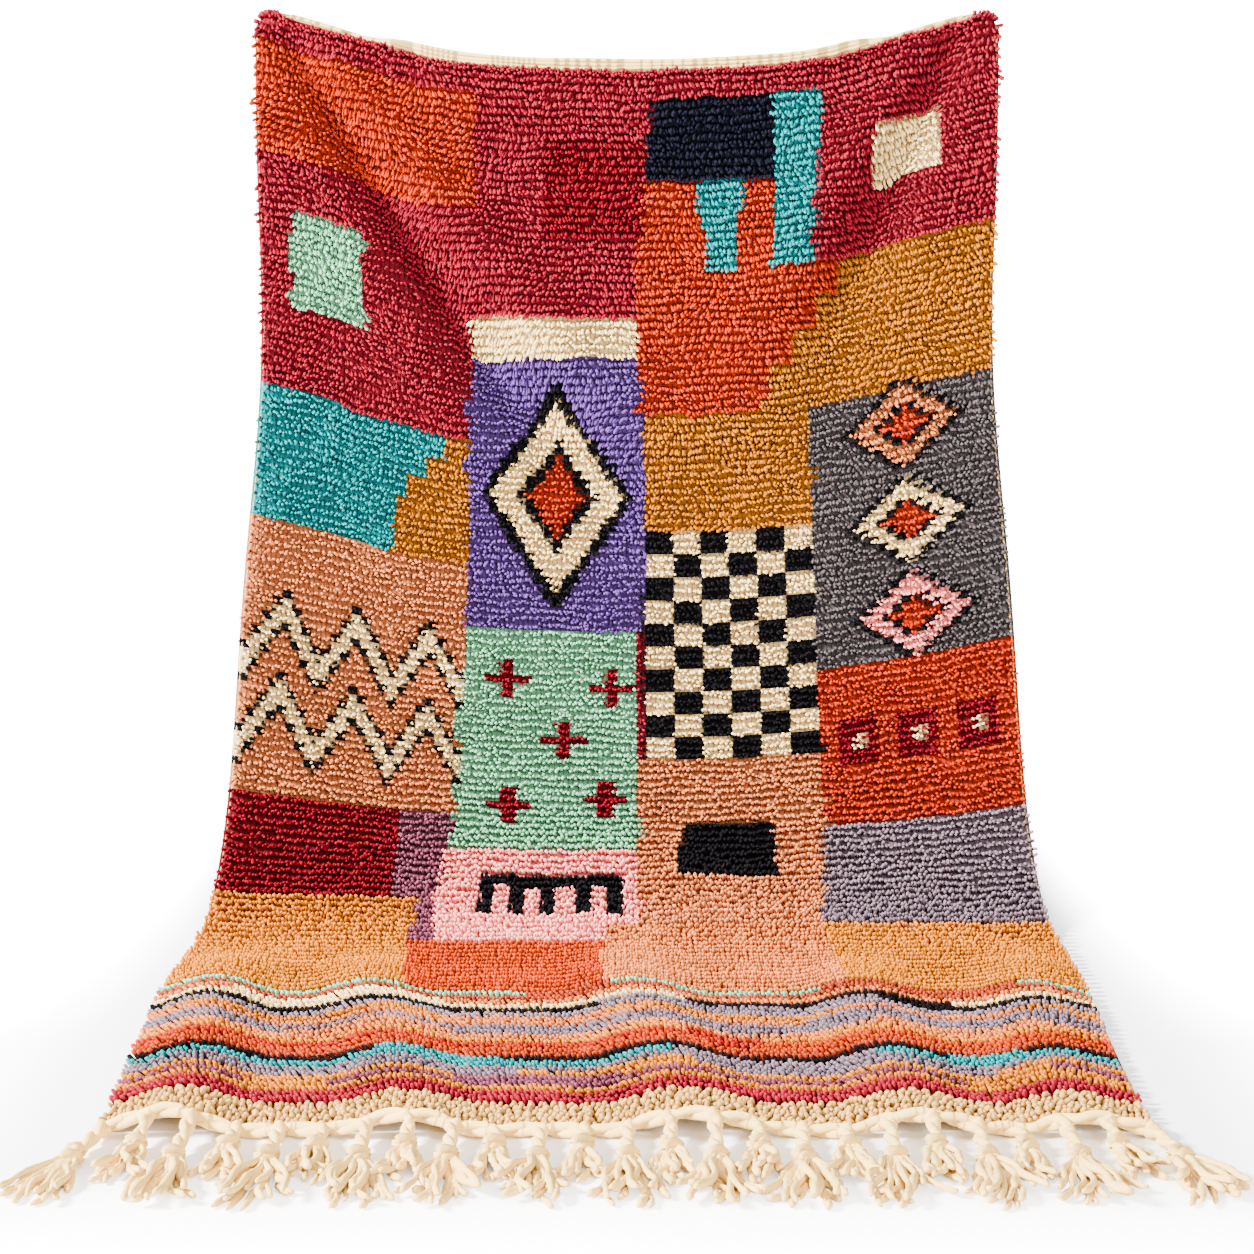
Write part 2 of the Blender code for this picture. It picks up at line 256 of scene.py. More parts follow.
# How the cut ends stand. Scatters are standard deviations, of lengths and radii as shares of the usual,
# and of leans in radians.
YARN_SHAPE = ("length", "radius", "root_lean", "tip_lean", "sideways")
ROW_WANDER = ((0.0013, 0.16), (0.0008, 0.045))  # how far a row wanders, and over what length, in metres
PLACE_SCATTER = 0.0007
TOP_EDGE_PITCH = 0.0035
SIDE_MARGIN = 0.001  # how far the ends keep from the cloth's sides and from its flat band
BAND_MARGIN = 0.0008
CALM_SHARE = 0.62  # how much of the scatter is gone where the rows lie more evenly
LYING_POWER = 1.5  # how suddenly the ends change from hanging to lying cloth
LYING_SHORTER = 0.12
ROOT_LEAN_DEG = (16, 10)  # where the cloth hangs, and how much less where it lies
TIP_LEAN_DEG = (74, 46)
TOP_ROOT_LEAN_DEG = -12
TOP_TIP_LEAN_DEG = (12, 9)  # at the first whole row, and how much less for each row above it
CORNER_LEAN_DEG = 35  # on a turned-back corner
CORNER_LENGTH = 0.60  # shares of the usual length and thickness there
CORNER_THICKNESS = 1.2
EDGE_THICKER = 0.40  # how much thicker the ends are that splay at the sides
LENGTH_SCATTER = 0.10
RADIUS_SCATTER = 0.10
ROOT_SCATTER = 0.14
TIP_SCATTER = 0.17
SIDEWAYS_SCATTER = 0.20
TIP_DRIFT = (0.16, 0.10)  # in radians, over a length in metres
COMB_DRIFT = (0.26, 0.13)
USUAL_SHADE = 0.45
ROW_SHADE_SCATTER = 0.14
SHADE_SCATTER = 0.20

# The loops, each value with its scatter, in metres, radians or as named.
LOOP_LAP = 0.006  # how far the loops reach back over the cut rows
LOOP_REACH = 0.496
LOOP_SCATTER = (0.0006, 0.0007)  # across and along
LOOP_LENGTH = (0.0112, 0.0008)
LOOP_RADIUS_SHARE = (1, 0.12)
LOOP_ROOT_LEAN = 0.10
LOOP_TIP_LEAN_DEG = (48, 12)
LOOP_SIDEWAYS = (0, 0.6)
LOOP_SHADES = (0.1, 0.8)  # from and to

# The cords of the edges and of the fringe. Turns are a metre, and steps are points along one cord.
BINDING_RADIUS = 0.0022
BINDING_INSET = 0.0032
BINDING_LIFT = 0.0010
BINDING_STEPS = 240
BINDING_SIDES = 7
BINDING_TURNS = 45.0
TOP_CORD_ARCS = (0.0020, 0.0070, 0.0120)
TOP_CORD_RADIUS = 0.0027
TOP_CORD_INSET = 0.045
TOP_CORD_LIFT = 0.0042
TOP_CORD_WANDER = (0.0006, 31)  # how far, and how many radians a metre
TOP_CORD_STEPS = 260
TOP_CORD_SIDES = 6
TOP_CORD_TURNS = 20.0
HEADING_PLY = 0.0068
HEADING_TURNS = 12.0
HEADING_LIFT = 0.0072
HEADING_WOBBLE = ((0.0008, 57), (0.0005, 131))  # how far, and how many radians a metre
HEADING_SQUASH = 0.85
HEADING_STEPS = 560
HEADING_SIDES = 10
PLY_OFFSET = 0.46  # how far a ply lies from its cord's middle, and its radius, as shares of the cord's
PLY_RADIUS = 0.64
FLOOR_CLEARANCE = 0.0005
CORD_SHADE = (0.45, 0.16, 0.04)  # usual, how much it drifts, and over what length in metres
STEM_LIFT = 0.0080
STEM_TURNS = 24.0
STEM_STEPS = 17
STEM_SIDES = 8
STEM_SLACK_POWER = 1.5
STEM_THICKNESS = (1.20, 0.28)  # at the ends, and how much less halfway
KNOT_LIFT = 0.0100
KNOT_REACH = 0.0072
KNOT_RADIUS = 0.0054
KNOT_LENGTH = 0.015
KNOT_CROSSING = 0.0026  # how far the strand goes fore and aft to cross over itself
KNOT_FLATNESS = 0.62
KNOT_ROUNDS = 2.0
KNOT_STEPS = 37
KNOT_SIDES = 9
KNOT_TURNS = 40.0
YARN_STEPS = 16
YARN_SIDES = 7
YARN_TURNS = 55.0
YARN_LENGTHS = (0.72, 1.05)  # ranges from and to, as shares of the tassel's
YARN_RADII = (0.85, 1.15)
YARN_BEND_SCATTER = 0.10
YARN_OUTER_SHORTER = (1.04, 0.16)  # in the middle of a tassel, and how much less at its sides
YARN_LAYERS = (0, 0, 1, 1, 2)
YARN_LAYER_RISE = 1.35
YARN_WAVES = (0.12, 0.42)  # radians
YARN_WAVE_PACE = 9.5
YARN_CURLS = (0.0, 1.1)  # radians
YARN_CURL_FROM = 0.62
YARN_ROOT_SPREAD = 0.0055
YARN_FALL_PACE = 1.7
YARN_TIP_RADIUS = 0.55

# The finishes.
BLOTCH_SCALE = 46.0
# Painted shade towards the yarns' roots: how fast it grows along a yarn, and how much of it is a richer,
# deeper colour.
PAINTED_ROOT_SHADE_POWER = 1.4
PAINTED_ROOT_SHADE_RICHNESS = 0.5
FIBRE_GRAIN = (0.28, 0.86)  # how much of the fibres' noise is in the colour, and what is there without it
FIBRE_ROUGHNESS = (0.18, 0.80)
GROUND_FIBRE_SCALE = 700.0
GROUND_GRAIN = (0.4, 0.75)
WEFT_SHOWS = (0.36, 0.43)  # from and to, in rows away from a row of knots
BINDING_TONE = 0.78  # the binding's and the band's brightness beside the fringe's
BAND_TONE = 0.72
# Painted shade: how much darker the ground's top is under the pile.
UNDER_PILE_PAINTED_SHADE = 0.70

SEED = 7  # every draw of random numbers starts from it

# The stage.
SEEN_WHITE = 14.0  # how bright the far paper and the world look to the camera
WORLD_LIGHT = 0.46
PAPER_GLOW = (  # from_m and to_m away from the rug, share of SEEN_WHITE
    (0.03, 0.13, 0.20),
    (0.08, 0.30, 0.80),
)
GLOW_CLOSER_BEHIND = (0.85, 5.0)  # from this far before the top edge back, and how much closer for each metre
FLOOR_HALF_WIDTH = 6.0
FLOOR_FORWARD = 3.2
SWEEP_RADIUS = 1.6  # of the paper's bend up into the backdrop
SWEEP_STEPS = 12
BACKDROP_RISE = 5.0
PAPER_COLOUR = (0.93, 0.93, 0.935, 1.0)
WORLD_COLOUR = (1.0, 0.99, 0.98, 1.0)
LAMPS = (  # name, place, size_m, power_w, aim
    ("key_light", (-4.6, -1.95, 1.9), 1.0, 2900.0, (0, -0.4, -0.5)),
    ("fill_light", (1.8, -3.8, 0.6), 2.2, 250.0, (0, -0.4, -0.5)),
    ("top_light", (0.3, -1.0, 2.5), 2.0, 140.0, (0, -0.6, -0.9)),
    ("back_light", (0.0, 2.6, 1.2), 2.0, 70.0, (0, 0, -0.5)),
)
CAMERA_PLACE = (0.0, -2.671, -0.216)
CAMERA_PITCH_DEG = 78.0
CAMERA_LENS = 54.55
CAMERA_SENSOR = 36.0


class RugSizes(bpy.types.PropertyGroup):
    """Sizes of the yarn and the weave."""

    ground: FloatProperty(name="Ground", description="Thickness of the woven ground",
                          default=0.003, min=0.001, max=0.006, unit="LENGTH")
    band: FloatProperty(name="End band", description="Thickness of the flat-woven top end",
                        default=0.005, min=0.002, max=0.010, unit="LENGTH")
    yarn_length: FloatProperty(name="Pile length", description="Length of a cut yarn end",
                               default=0.0150, min=0.005, max=0.03, unit="LENGTH")
    yarn_radius: FloatProperty(name="Yarn radius", description="Radius of a cut yarn end",
                               default=0.0022, min=0.001, max=0.006, unit="LENGTH")
    loop_radius: FloatProperty(name="Loop radius", description="Radius of the chunky loops at the front",
                               default=0.0030, min=0.002, max=0.008, unit="LENGTH")
    fringe_yarn: FloatProperty(name="Fringe yarn", description="Radius of a loose yarn in a tassel",
                               default=0.0035, min=0.001, max=0.006, unit="LENGTH")
    yarns: IntProperty(name="Yarns", description="Loose yarns in one tassel",
                       default=16, min=3, max=24)


def dye_property(name):
    return FloatVectorProperty(name=name.capitalize(), description=f"Colour of the {name} yarn",
                               default=DYES[name], size=3, min=0.0, max=1.0, subtype="COLOR")


class RugDyes(bpy.types.PropertyGroup):
    """Colours of the yarns."""

    __annotations__ = {name: dye_property(name) for name in DYES}


# The surface of the cloth.

def smooth_step(value):
    value = np.clip(value, 0.0, 1.0)
    return value * value * (3 - 2 * value)


def hanging_line(across):
    """The arc, forward and height values of one lengthwise line, added up from the cloth's front end."""
    step = CLOTH_LENGTH / STEPS
    arc = np.linspace(-RISE_STEPS * step, CLOTH_LENGTH, STEPS + RISE_STEPS + 1)
    share = abs(2 * across / RUG_WIDTH) ** SIDE_SHARE_POWER
    middle = np.interp(arc, *zip(*MIDDLE_LEAN))
    side = np.interp(arc, *zip(*SIDE_LEAN))
    lean = np.radians(middle + (side - middle) * share)
    lean = (lean[1:] + lean[:-1]) / 2
    step *= 1 + SIDE_STRETCH * share
    to_front = np.append(np.cumsum((np.sin(lean) * step)[::-1])[::-1], 0)
    height = np.append(np.cumsum((np.cos(lean) * step)[::-1])[::-1], 0)
    return arc, to_front, height


MIDDLE_LINE = hanging_line(0.0)
FRONT_Y = -float(MIDDLE_LINE[1][RISE_STEPS])
FLOOR_Z = -float(MIDDLE_LINE[2][RISE_STEPS])


def base_points(across, arcs, line):
    """Points of one lengthwise line before the folds are put in."""
    wander = EDGE_WANDER * np.sin(2 * math.pi * arcs / EDGE_WANDER_LENGTH)
    wander -= FRONT_DRAW_IN * smooth_step((arcs - FRONT_DRAW_FROM) / (CLOTH_LENGTH - FRONT_DRAW_FROM))
    x = across + wander * 2 * across / RUG_WIDTH
    y = FRONT_Y + np.interp(arcs, line[0], line[1])
    z = FLOOR_Z + np.interp(arcs, line[0], line[2])
    return np.stack([x, y, z], axis=1)


def fold_depth(across, arcs, fold, towards_middle):
    """How far a fold pushes points of one line in, or lifts them at the crest beside it."""
    along, lines, depths, widths = zip(*fold)
    depth = np.interp(arcs, along, depths)
    beside = (across - np.interp(arcs, along, lines)) / np.interp(arcs, along, widths)
    squeezed = np.where(beside * towards_middle < 0, beside / FOLD_OUTER, beside)
    trough = FOLD_SWELL * np.exp(-squeezed * squeezed)
    crest = np.exp(-((beside - towards_middle * CREST_OFFSET) ** 2))
    return np.where(arcs > along[-1], 0.0, depth * (CREST_SHARE * crest - trough))


def ripple_height(across, arcs):
    """How far points of the lying end are lifted off the floor."""
    grown = smooth_step((arcs - RIPPLE_START) / (RIPPLE_FULL - RIPPLE_START))
    along = (arcs - RIPPLE_START) / (CLOTH_LENGTH - RIPPLE_START)
    lift = np.zeros_like(arcs)
    for start, front, height, half_width in RIPPLES:
        beside = np.clip((across - (start + (front - start) * along)) / half_width, -1, 1)
        lift += height * np.cos(beside * math.pi / 2) ** 2
    return grown * lift


def drawn_up(across, arcs):
    """How far the rows of one line are drawn up towards a held corner."""
    along, left, right = zip(*DRAWN_UP)
    most = np.interp(arcs, along, left if across < 0 else right)
    return most * smooth_step((abs(across) - DRAWN_FROM) / (DRAWN_TO - DRAWN_FROM))


def unit(vectors):
    return vectors / np.linalg.norm(vectors, axis=-1, keepdims=True)


def make_surface_table():
    """The back of the cloth on a fine grid: its points, its way down the cloth and its way out."""
    arcs = np.linspace(0, CLOTH_LENGTH, TABLE_ALONG)
    points, downs, outs = [], [], []
    for across in np.linspace(-RUG_WIDTH / 2, RUG_WIDTH / 2, TABLE_ACROSS):
        line = hanging_line(across)
        at = arcs - drawn_up(across, arcs)
        below = base_points(across, np.minimum(at + TABLE_REACH, CLOTH_LENGTH), line)
        down = unit(below - base_points(across, at - TABLE_REACH, line))
        out = unit(np.cross([1.0, 0.0, 0.0], down))
        out *= np.where(out[:, 1:2] > 1e-6, -1.0, 1.0)
        out *= np.where((np.abs(out[:, 1:2]) <= 1e-6) & (out[:, 2:3] < 0), -1.0, 1.0)
        folded = fold_depth(across, arcs, LEFT_FOLD, 1) + fold_depth(across, arcs, RIGHT_FOLD, -1)
        point = base_points(across, at, line) + out * folded[:, None]
        point[:, 2] += ripple_height(across, arcs)
        points.append(point)
        downs.append(down)
        outs.append(out)
    points = np.array(points)
    normals = unit(np.cross(np.gradient(points, axis=1), np.gradient(points, axis=0)))
    normals *= np.sign(np.sum(normals * np.array(outs), axis=2, keepdims=True))
    return {"point": points, "down": np.array(downs), "out": np.array(outs), "normal": normals}


SURFACE = make_surface_table()


def look_up(what, across, arc):
    """Values from the surface table at many places, blended from the four nearest."""
    table = SURFACE[what]
    column = np.clip((across / RUG_WIDTH + 0.5) * (TABLE_ACROSS - 1), 0, TABLE_ACROSS - 1.0001)
    row = np.clip(arc / CLOTH_LENGTH * (TABLE_ALONG - 1), 0, TABLE_ALONG - 1.0001)
    c, r = column.astype(int), row.astype(int)
    fc, fr = (column - c)[:, None], (row - r)[:, None]
    near = table[c, r] * (1 - fr) + table[c, r + 1] * fr
    far = table[c + 1, r] * (1 - fr) + table[c + 1, r + 1] * fr
    return near * (1 - fc) + far * fc


def turned_back(across, arc):
    """Each place's foot on the line where the cloth is turned back, and how far past it the place lies."""
    centre_across = RUG_WIDTH / 2 - CORNER_RADIUS
    centre_arc = TOP_BAND + CORNER_RADIUS
    beside = np.abs(across) - centre_across
    above = centre_arc - arc
    distance = np.hypot(beside, above)
    corner = (beside > 0) & (above > 0)
    past_corner = corner & (distance > CORNER_RADIUS)
    safe = np.where(distance > 0, distance, 1)
    beside, above = beside / safe, above / safe
    foot_across = np.where(past_corner, np.copysign(centre_across + CORNER_RADIUS * beside, across), across)
    foot_arc = np.where(corner, arc, np.maximum(arc, TOP_BAND))
    foot_arc = np.where(past_corner, centre_arc - CORNER_RADIUS * above, foot_arc)
    past = np.where(corner, 0.0, np.maximum(TOP_BAND - arc, 0.0))
    past = np.where(past_corner, distance - CORNER_RADIUS, past)
    sideways = np.where(past_corner, np.copysign(beside, across), 0.0)
    upward = np.where(past_corner, above, 1.0)
    return foot_across, foot_arc, past, sideways, upward


def cloth_points(across, arc, lift):
    """Points at a height over the cloth's back, with its end band and corners turned back."""
    across, arc = np.asarray(across, float), np.asarray(arc, float)
    foot_across, foot_arc, past, sideways, upward = turned_back(across, arc)
    point = look_up("point", foot_across, foot_arc)
    down = unit(look_up("down", foot_across, foot_arc))
    out = unit(look_up("out", foot_across, foot_arc))
    share = smooth_step((np.abs(foot_across) - BAND_TURN_FROM) / (BAND_TURN_TO - BAND_TURN_FROM))
    turn = np.where(past > 0, np.radians(BAND_TURN_DEG) * share, 0.0)[:, None]
    over = sideways[:, None] * np.array([1.0, 0.0, 0.0]) - down * upward[:, None]
    over = np.where(past[:, None] > 0, over, -down)
    point = point + (over * np.cos(turn) - out * np.sin(turn)) * past[:, None]
    out = out * np.cos(turn) + over * np.sin(turn)
    return point + out * np.asarray(lift)[..., None]


# The patchwork.

def waver(rng, count):
    """A wander of a knot or so that keeps its place for several rows."""
    steps = rng.normal(0, 1, count + 2 * WAVER_WINDOW)
    slow = np.convolve(steps, np.ones(WAVER_WINDOW) / WAVER_WINDOW, mode="same")
    return np.rint(slow[WAVER_WINDOW:WAVER_WINDOW + count] * WAVER_REACH * WAVER_GAIN).astype(int)


def draw_fields(cells, rng, names):
    """Plain fields, first as they are drawn and then with wandering sides, so that no gap is left."""
    for dye, left, right, top, bottom in FIELDS:
        cells[top:bottom, left:right] = names.index(dye)
    for dye, left, right, top, bottom in FIELDS:
        left_wander, right_wander = waver(rng, PILE_ROWS), waver(rng, PILE_ROWS)
        for row in range(top, bottom):
            start = left + (left_wander[row] if left > 0 else 0)
            stop = right + (right_wander[row] if right < YARN_COLUMNS else 0)
            cells[row, max(start, 0):max(stop, 0)] = names.index(dye)


def draw_stair(cells, names, left, top, treads, tread, riser, dye):
    """A stepped corner: each flight reaches less far across than the one above it."""
    for number in range(treads):
        start = top + number * riser
        cells[start:start + riser, left:left + (treads - number) * tread] = names.index(dye)


def draw_chequer(cells, names, left, top, across, down, cell_columns, cell_rows):
    for i in range(across):
        for j in range(down):
            dye = "cream" if (i + j) % 2 else "black"
            c, r = left + i * cell_columns, top + j * cell_rows
            cells[r:r + cell_rows, c:c + cell_columns] = names.index(dye)


def draw_diamond(cells, names, column, row, half_width, half_height, fill):
    """A stepped diamond with a dark outline, a plain fill and a smaller core in a dark line."""
    for r in range(row - half_height, row + half_height + 1):
        for c in range(column - half_width, column + half_width + 1):
            away = abs(c - column) / half_width + abs(r - row) / half_height
            for reach, dye in DIAMOND_RINGS:
                if away < reach:
                    cells[r, c] = names.index(dye or fill)
                    break


def draw_zigzag(cells, names, left, right, row):
    """A zigzag ribbon of cream between two dark lines."""
    for c in range(left, right):
        wave = abs(((c - left) / ZIGZAG_PERIOD) % 1.0 - 0.5) * 2
        edge = row + int(round(wave * ZIGZAG_HEIGHT))
        cells[edge:edge + ZIGZAG_THICKNESS + 2, c] = names.index("black")
        cells[edge + 1:edge + ZIGZAG_THICKNESS + 1, c] = names.index("cream")


def draw_cross(cells, names, column, row):
    cells[row - 2:row + 3, column - 1:column + 2] = names.index("burgundy")
    cells[row:row + 1, column - 4:column + 5] = names.index("burgundy")


def draw_comb(cells, names, left, right, row, teeth):
    """A dark bar with teeth below it."""
    cells[row:row + 2, left:right] = names.index("black")
    for number in range(teeth):
        start = left + round(number * (right - left - COMB_TOOTH) / (teeth - 1))
        cells[row:row + COMB_DROP, start:start + COMB_TOOTH] = names.index("black")


def draw_square(cells, names, column, row):
    """A small dark square with a light middle."""
    cells[row:row + 6, column - 4:column + 4] = names.index("burgundy")
    cells[row + 2:row + 4, column - 1:column + 1] = names.index("cream")


def blend_stripes(cells, rng):
    """Stretches where a stripe's last row is worked in the next stripe's yarn, as by eye."""
    for row in range(STRIPES_FROM, LOOP_ROWS_FROM - 1):
        for _ in range(rng.integers(0, 3)):
            start, length = rng.integers(0, YARN_COLUMNS), rng.integers(10, 38)
            cells[row, start:start + length] = cells[row + 1, start:start + length]


def make_pattern(names):
    """The dye of every yarn end, by row and column."""
    cells = np.zeros((PILE_ROWS, YARN_COLUMNS), int)
    draw_fields(cells, np.random.default_rng(SEED), names)
    for draw, motifs in ((draw_stair, STAIRS), (draw_chequer, (CHEQUER,)), (draw_diamond, DIAMONDS),
                         (draw_zigzag, ZIGZAGS), (draw_cross, CROSSES), (draw_comb, (COMB,)),
                         (draw_square, ((column, SQUARE_ROW) for column in SQUARE_COLUMNS))):
        for motif in motifs:
            draw(cells, names, *motif)
    cells[:TOP_BORDER_ROWS, :] = names.index("raspberry")
    row = STRIPES_FROM
    for dye, rows in STRIPES:
        cells[row:row + rows, :] = names.index(dye)
        row += rows
    blend_stripes(cells, np.random.default_rng(SEED + 11))
    cells[LOOP_ROWS_FROM:, :] = names.index("tan")
    return cells


def row_arc(row):
    """The place along the cloth of a row of knots, counted from 0 at the pile's top."""
    return TOP_BAND + (row + 0.5) * (CLOTH_LENGTH - TOP_BAND) / PILE_ROWS


# Finishes.

def feed(tree, socket, value):
    """Links another node's output to a socket, or sets the socket's own value."""
    if isinstance(value, bpy.types.NodeSocket):
        tree.links.new(value, socket)
    else:
        socket.default_value = value


def math_node(tree, operation, *values):
    node = tree.nodes.new("ShaderNodeMath")
    node.operation = operation
    for socket, value in zip(node.inputs, values):
        feed(tree, socket, value)
    return node.outputs[0]


def mix_colour(tree, share, first, second, blend="MIX"):
    node = tree.nodes.new("ShaderNodeMix")
    node.data_type = "RGBA"
    node.blend_type = blend
    factor = [s for s in node.inputs if s.name == "Factor" and s.type == "VALUE"][0]
    colours = [s for s in node.inputs if s.type == "RGBA"]
    for socket, value in ((factor, share), (colours[0], first), (colours[1], second)):
        feed(tree, socket, value)
    return [s for s in node.outputs if s.type == "RGBA"][0]


def attribute(tree, name, output="Fac"):
    node = tree.nodes.new("ShaderNodeAttribute")
    node.attribute_type = "GEOMETRY"
    node.attribute_name = name
    return node.outputs[output]


def noise(tree, scale):
    """Noise in the piece's own space."""
    node = tree.nodes.new("ShaderNodeTexNoise")
    feed(tree, node.inputs["Scale"], scale)
    node.inputs["Detail"].default_value = 3.0
    tree.links.new(tree.nodes.new("ShaderNodeTexCoord").outputs["Object"], node.inputs["Vector"])
    return node.outputs["Fac"]


def eased(tree, value, start, stop, top=1.0):
    """Rises smoothly from nothing to top as the value goes from start to stop."""
    node = tree.nodes.new("ShaderNodeMapRange")
    node.interpolation_type = "SMOOTHSTEP"
    for name, given in (("Value", value), ("From Min", start), ("From Max", stop), ("To Max", top)):
        feed(tree, node.inputs[name], given)
    return node.outputs[0]


def darkened(tree, colour, value):
    """The colour times a value."""
    grey = tree.nodes.new("ShaderNodeCombineColor")
    for socket in grey.inputs:
        tree.links.new(value, socket)
    return mix_colour(tree, 1.0, colour, grey.outputs[0], "MULTIPLY")


def add_relief(tree, shader, height, strength, distance):
    bump = tree.nodes.new("ShaderNodeBump")
    bump.inputs["Strength"].default_value = strength
    bump.inputs["Distance"].default_value = distance
    tree.links.new(height, bump.inputs["Height"])
    tree.links.new(bump.outputs["Normal"], shader.inputs["Normal"])


def new_material(name, specular):
    """A material, with its node tree and its shader."""
    material = bpy.data.materials.new(name)
    material.use_nodes = True
    shader = material.node_tree.nodes["Principled BSDF"]
    shader.inputs["Specular IOR Level"].default_value = specular
    return material, material.node_tree, shader


def make_wool_group():
    """Hand-spun wool: a colour that fades from yarn to yarn, painted shade that makes each yarn richer and
    darker towards its root, and fine fibres.
    """
    tree = bpy.data.node_groups.new("hand-spun wool", "ShaderNodeTree")
    for name, way, kind in (
        ("Colour", "INPUT", "Color"), ("Faded colour", "INPUT", "Color"), ("Root depth", "INPUT", "Float"),
        ("Fibre scale", "INPUT", "Float"), ("Colour", "OUTPUT", "Color"), ("Roughness", "OUTPUT", "Float"),
        ("Height", "OUTPUT", "Float"),
    ):
        tree.interface.new_socket(name, in_out=way, socket_type=f"NodeSocket{kind}")
    given = tree.nodes.new("NodeGroupInput")
    out = tree.nodes.new("NodeGroupOutput")
    fibre = noise(tree, given.outputs["Fibre scale"])
    blotch = math_node(tree, "SUBTRACT", noise(tree, BLOTCH_SCALE), 0.5)
    shade = math_node(tree, "ADD", attribute(tree, "shade"), blotch)
    shade = math_node(tree, "MINIMUM", math_node(tree, "MAXIMUM", shade, 0.0), 1.0)
    colour = mix_colour(tree, shade, given.outputs["Colour"], given.outputs["Faded colour"])
    # Painted shade: towards the root each yarn's colour turns richer and darker, standing in for the shade
    # between the yarns.
    root = math_node(tree, "SUBTRACT", 1.0, attribute(tree, "tip"))
    root = math_node(tree, "POWER", root, PAINTED_ROOT_SHADE_POWER)
    painted_shadow_colour = mix_colour(tree, 1.0, colour, colour, "MULTIPLY")
    colour = mix_colour(tree, math_node(tree, "MULTIPLY", root, PAINTED_ROOT_SHADE_RICHNESS), colour, painted_shadow_colour)
    painted_shade = math_node(tree, "SUBTRACT", 1.0, math_node(tree, "MULTIPLY", root, given.outputs["Root depth"]))
    grain = math_node(tree, "MULTIPLY_ADD", fibre, *FIBRE_GRAIN)
    colour = darkened(tree, colour, math_node(tree, "MULTIPLY", painted_shade, grain))
    tree.links.new(colour, out.inputs["Colour"])
    roughness = math_node(tree, "MULTIPLY_ADD", fibre, *FIBRE_ROUGHNESS)
    tree.links.new(roughness, out.inputs["Roughness"])
    tree.links.new(fibre, out.inputs["Height"])
    return tree


def brightened(colour, share):
    return tuple(min(1.0, x * share) for x in colour)


def make_wool(name, colour, fade=0.24, root_depth=0.22, fibre_scale=900.0):
    """A wool finish of one dye, whose yarns range from a deeper to a paler shade of it, with painted shade
    towards their roots.
    """
    material, tree, shader = new_material(name, specular=0.01)
    wool = tree.nodes.new("ShaderNodeGroup")
    wool.node_tree = bpy.data.node_groups.get("hand-spun wool") or make_wool_group()
    for socket, value in (("Colour", (*brightened(colour, 1 - fade), 1.0)),
                          ("Faded colour", (*brightened(colour, 1 + fade), 1.0)),
                          ("Root depth", root_depth), ("Fibre scale", fibre_scale)):
        wool.inputs[socket].default_value = value
    add_relief(tree, shader, wool.outputs["Height"], strength=0.35, distance=0.0012)
    tree.links.new(wool.outputs["Colour"], shader.inputs["Base Color"])
    tree.links.new(wool.outputs["Roughness"], shader.inputs["Roughness"])
    material.diffuse_color = (*colour, 1.0)
    return material


def from_middle(tree, place, count):
    """How far a place is from the middle of its row or column of knots, of so many."""
    cell = math_node(tree, "FRACT", math_node(tree, "MULTIPLY", place, float(count)))
    return math_node(tree, "ABSOLUTE", math_node(tree, "SUBTRACT", cell, 0.5))


def make_ground_finish(name, weft_share):
    """The woven ground: collars of the knots' dyes in rows, between picks of undyed weft, with painted shade
    between the knots.
    """
    material, tree, shader = new_material(name, specular=0.06)
    uv = tree.nodes.new("ShaderNodeUVMap")
    uv.uv_map = "cloth"
    parts = tree.nodes.new("ShaderNodeSeparateXYZ")
    tree.links.new(uv.outputs["UV"], parts.inputs[0])
    from_row = from_middle(tree, parts.outputs[1], PILE_ROWS)
    from_knot = from_middle(tree, parts.outputs[0], YARN_COLUMNS)
    between_knots = math_node(tree, "POWER", math_node(tree, "MULTIPLY", from_knot, 2.0), 3.0)
    dip = math_node(tree, "MULTIPLY", between_knots, 0.5)
    collar = math_node(tree, "MULTIPLY_ADD", from_row, -1.6, 1.0)
    fibre = noise(tree, GROUND_FIBRE_SCALE)
    weft_mask = math_node(tree, "MULTIPLY", eased(tree, from_row, *WEFT_SHOWS), weft_share)
    undyed = (*brightened(DYES["tan"], 0.75), 1.0)
    colour = mix_colour(tree, weft_mask, attribute(tree, "dye", "Color"), undyed)
    # Painted shade: darker between the knots, where the ground dips, and a little darker all over.
    painted_shade = math_node(tree, "MULTIPLY_ADD", dip, -0.9, 0.85)
    grain = math_node(tree, "MULTIPLY_ADD", fibre, *GROUND_GRAIN)
    colour = darkened(tree, colour, math_node(tree, "MULTIPLY", painted_shade, grain))
    height = math_node(tree, "MULTIPLY_ADD", fibre, 0.25, math_node(tree, "SUBTRACT", collar, dip))
    add_relief(tree, shader, height, strength=0.7, distance=0.0020)
    tree.links.new(colour, shader.inputs["Base Color"])
    shader.inputs["Roughness"].default_value = 0.9
    return material


# Meshes.

def place_piece(mesh, name):
    obj = bpy.data.objects.new(name, mesh)
    bpy.context.scene.collection.objects.link(obj)
    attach(obj, "root")
    return obj


def point_values(mesh, name, values):
    layer = mesh.attributes.new(name, "FLOAT", "POINT")
    layer.data.foreach_set("value", np.asarray(values, np.float32).ravel())


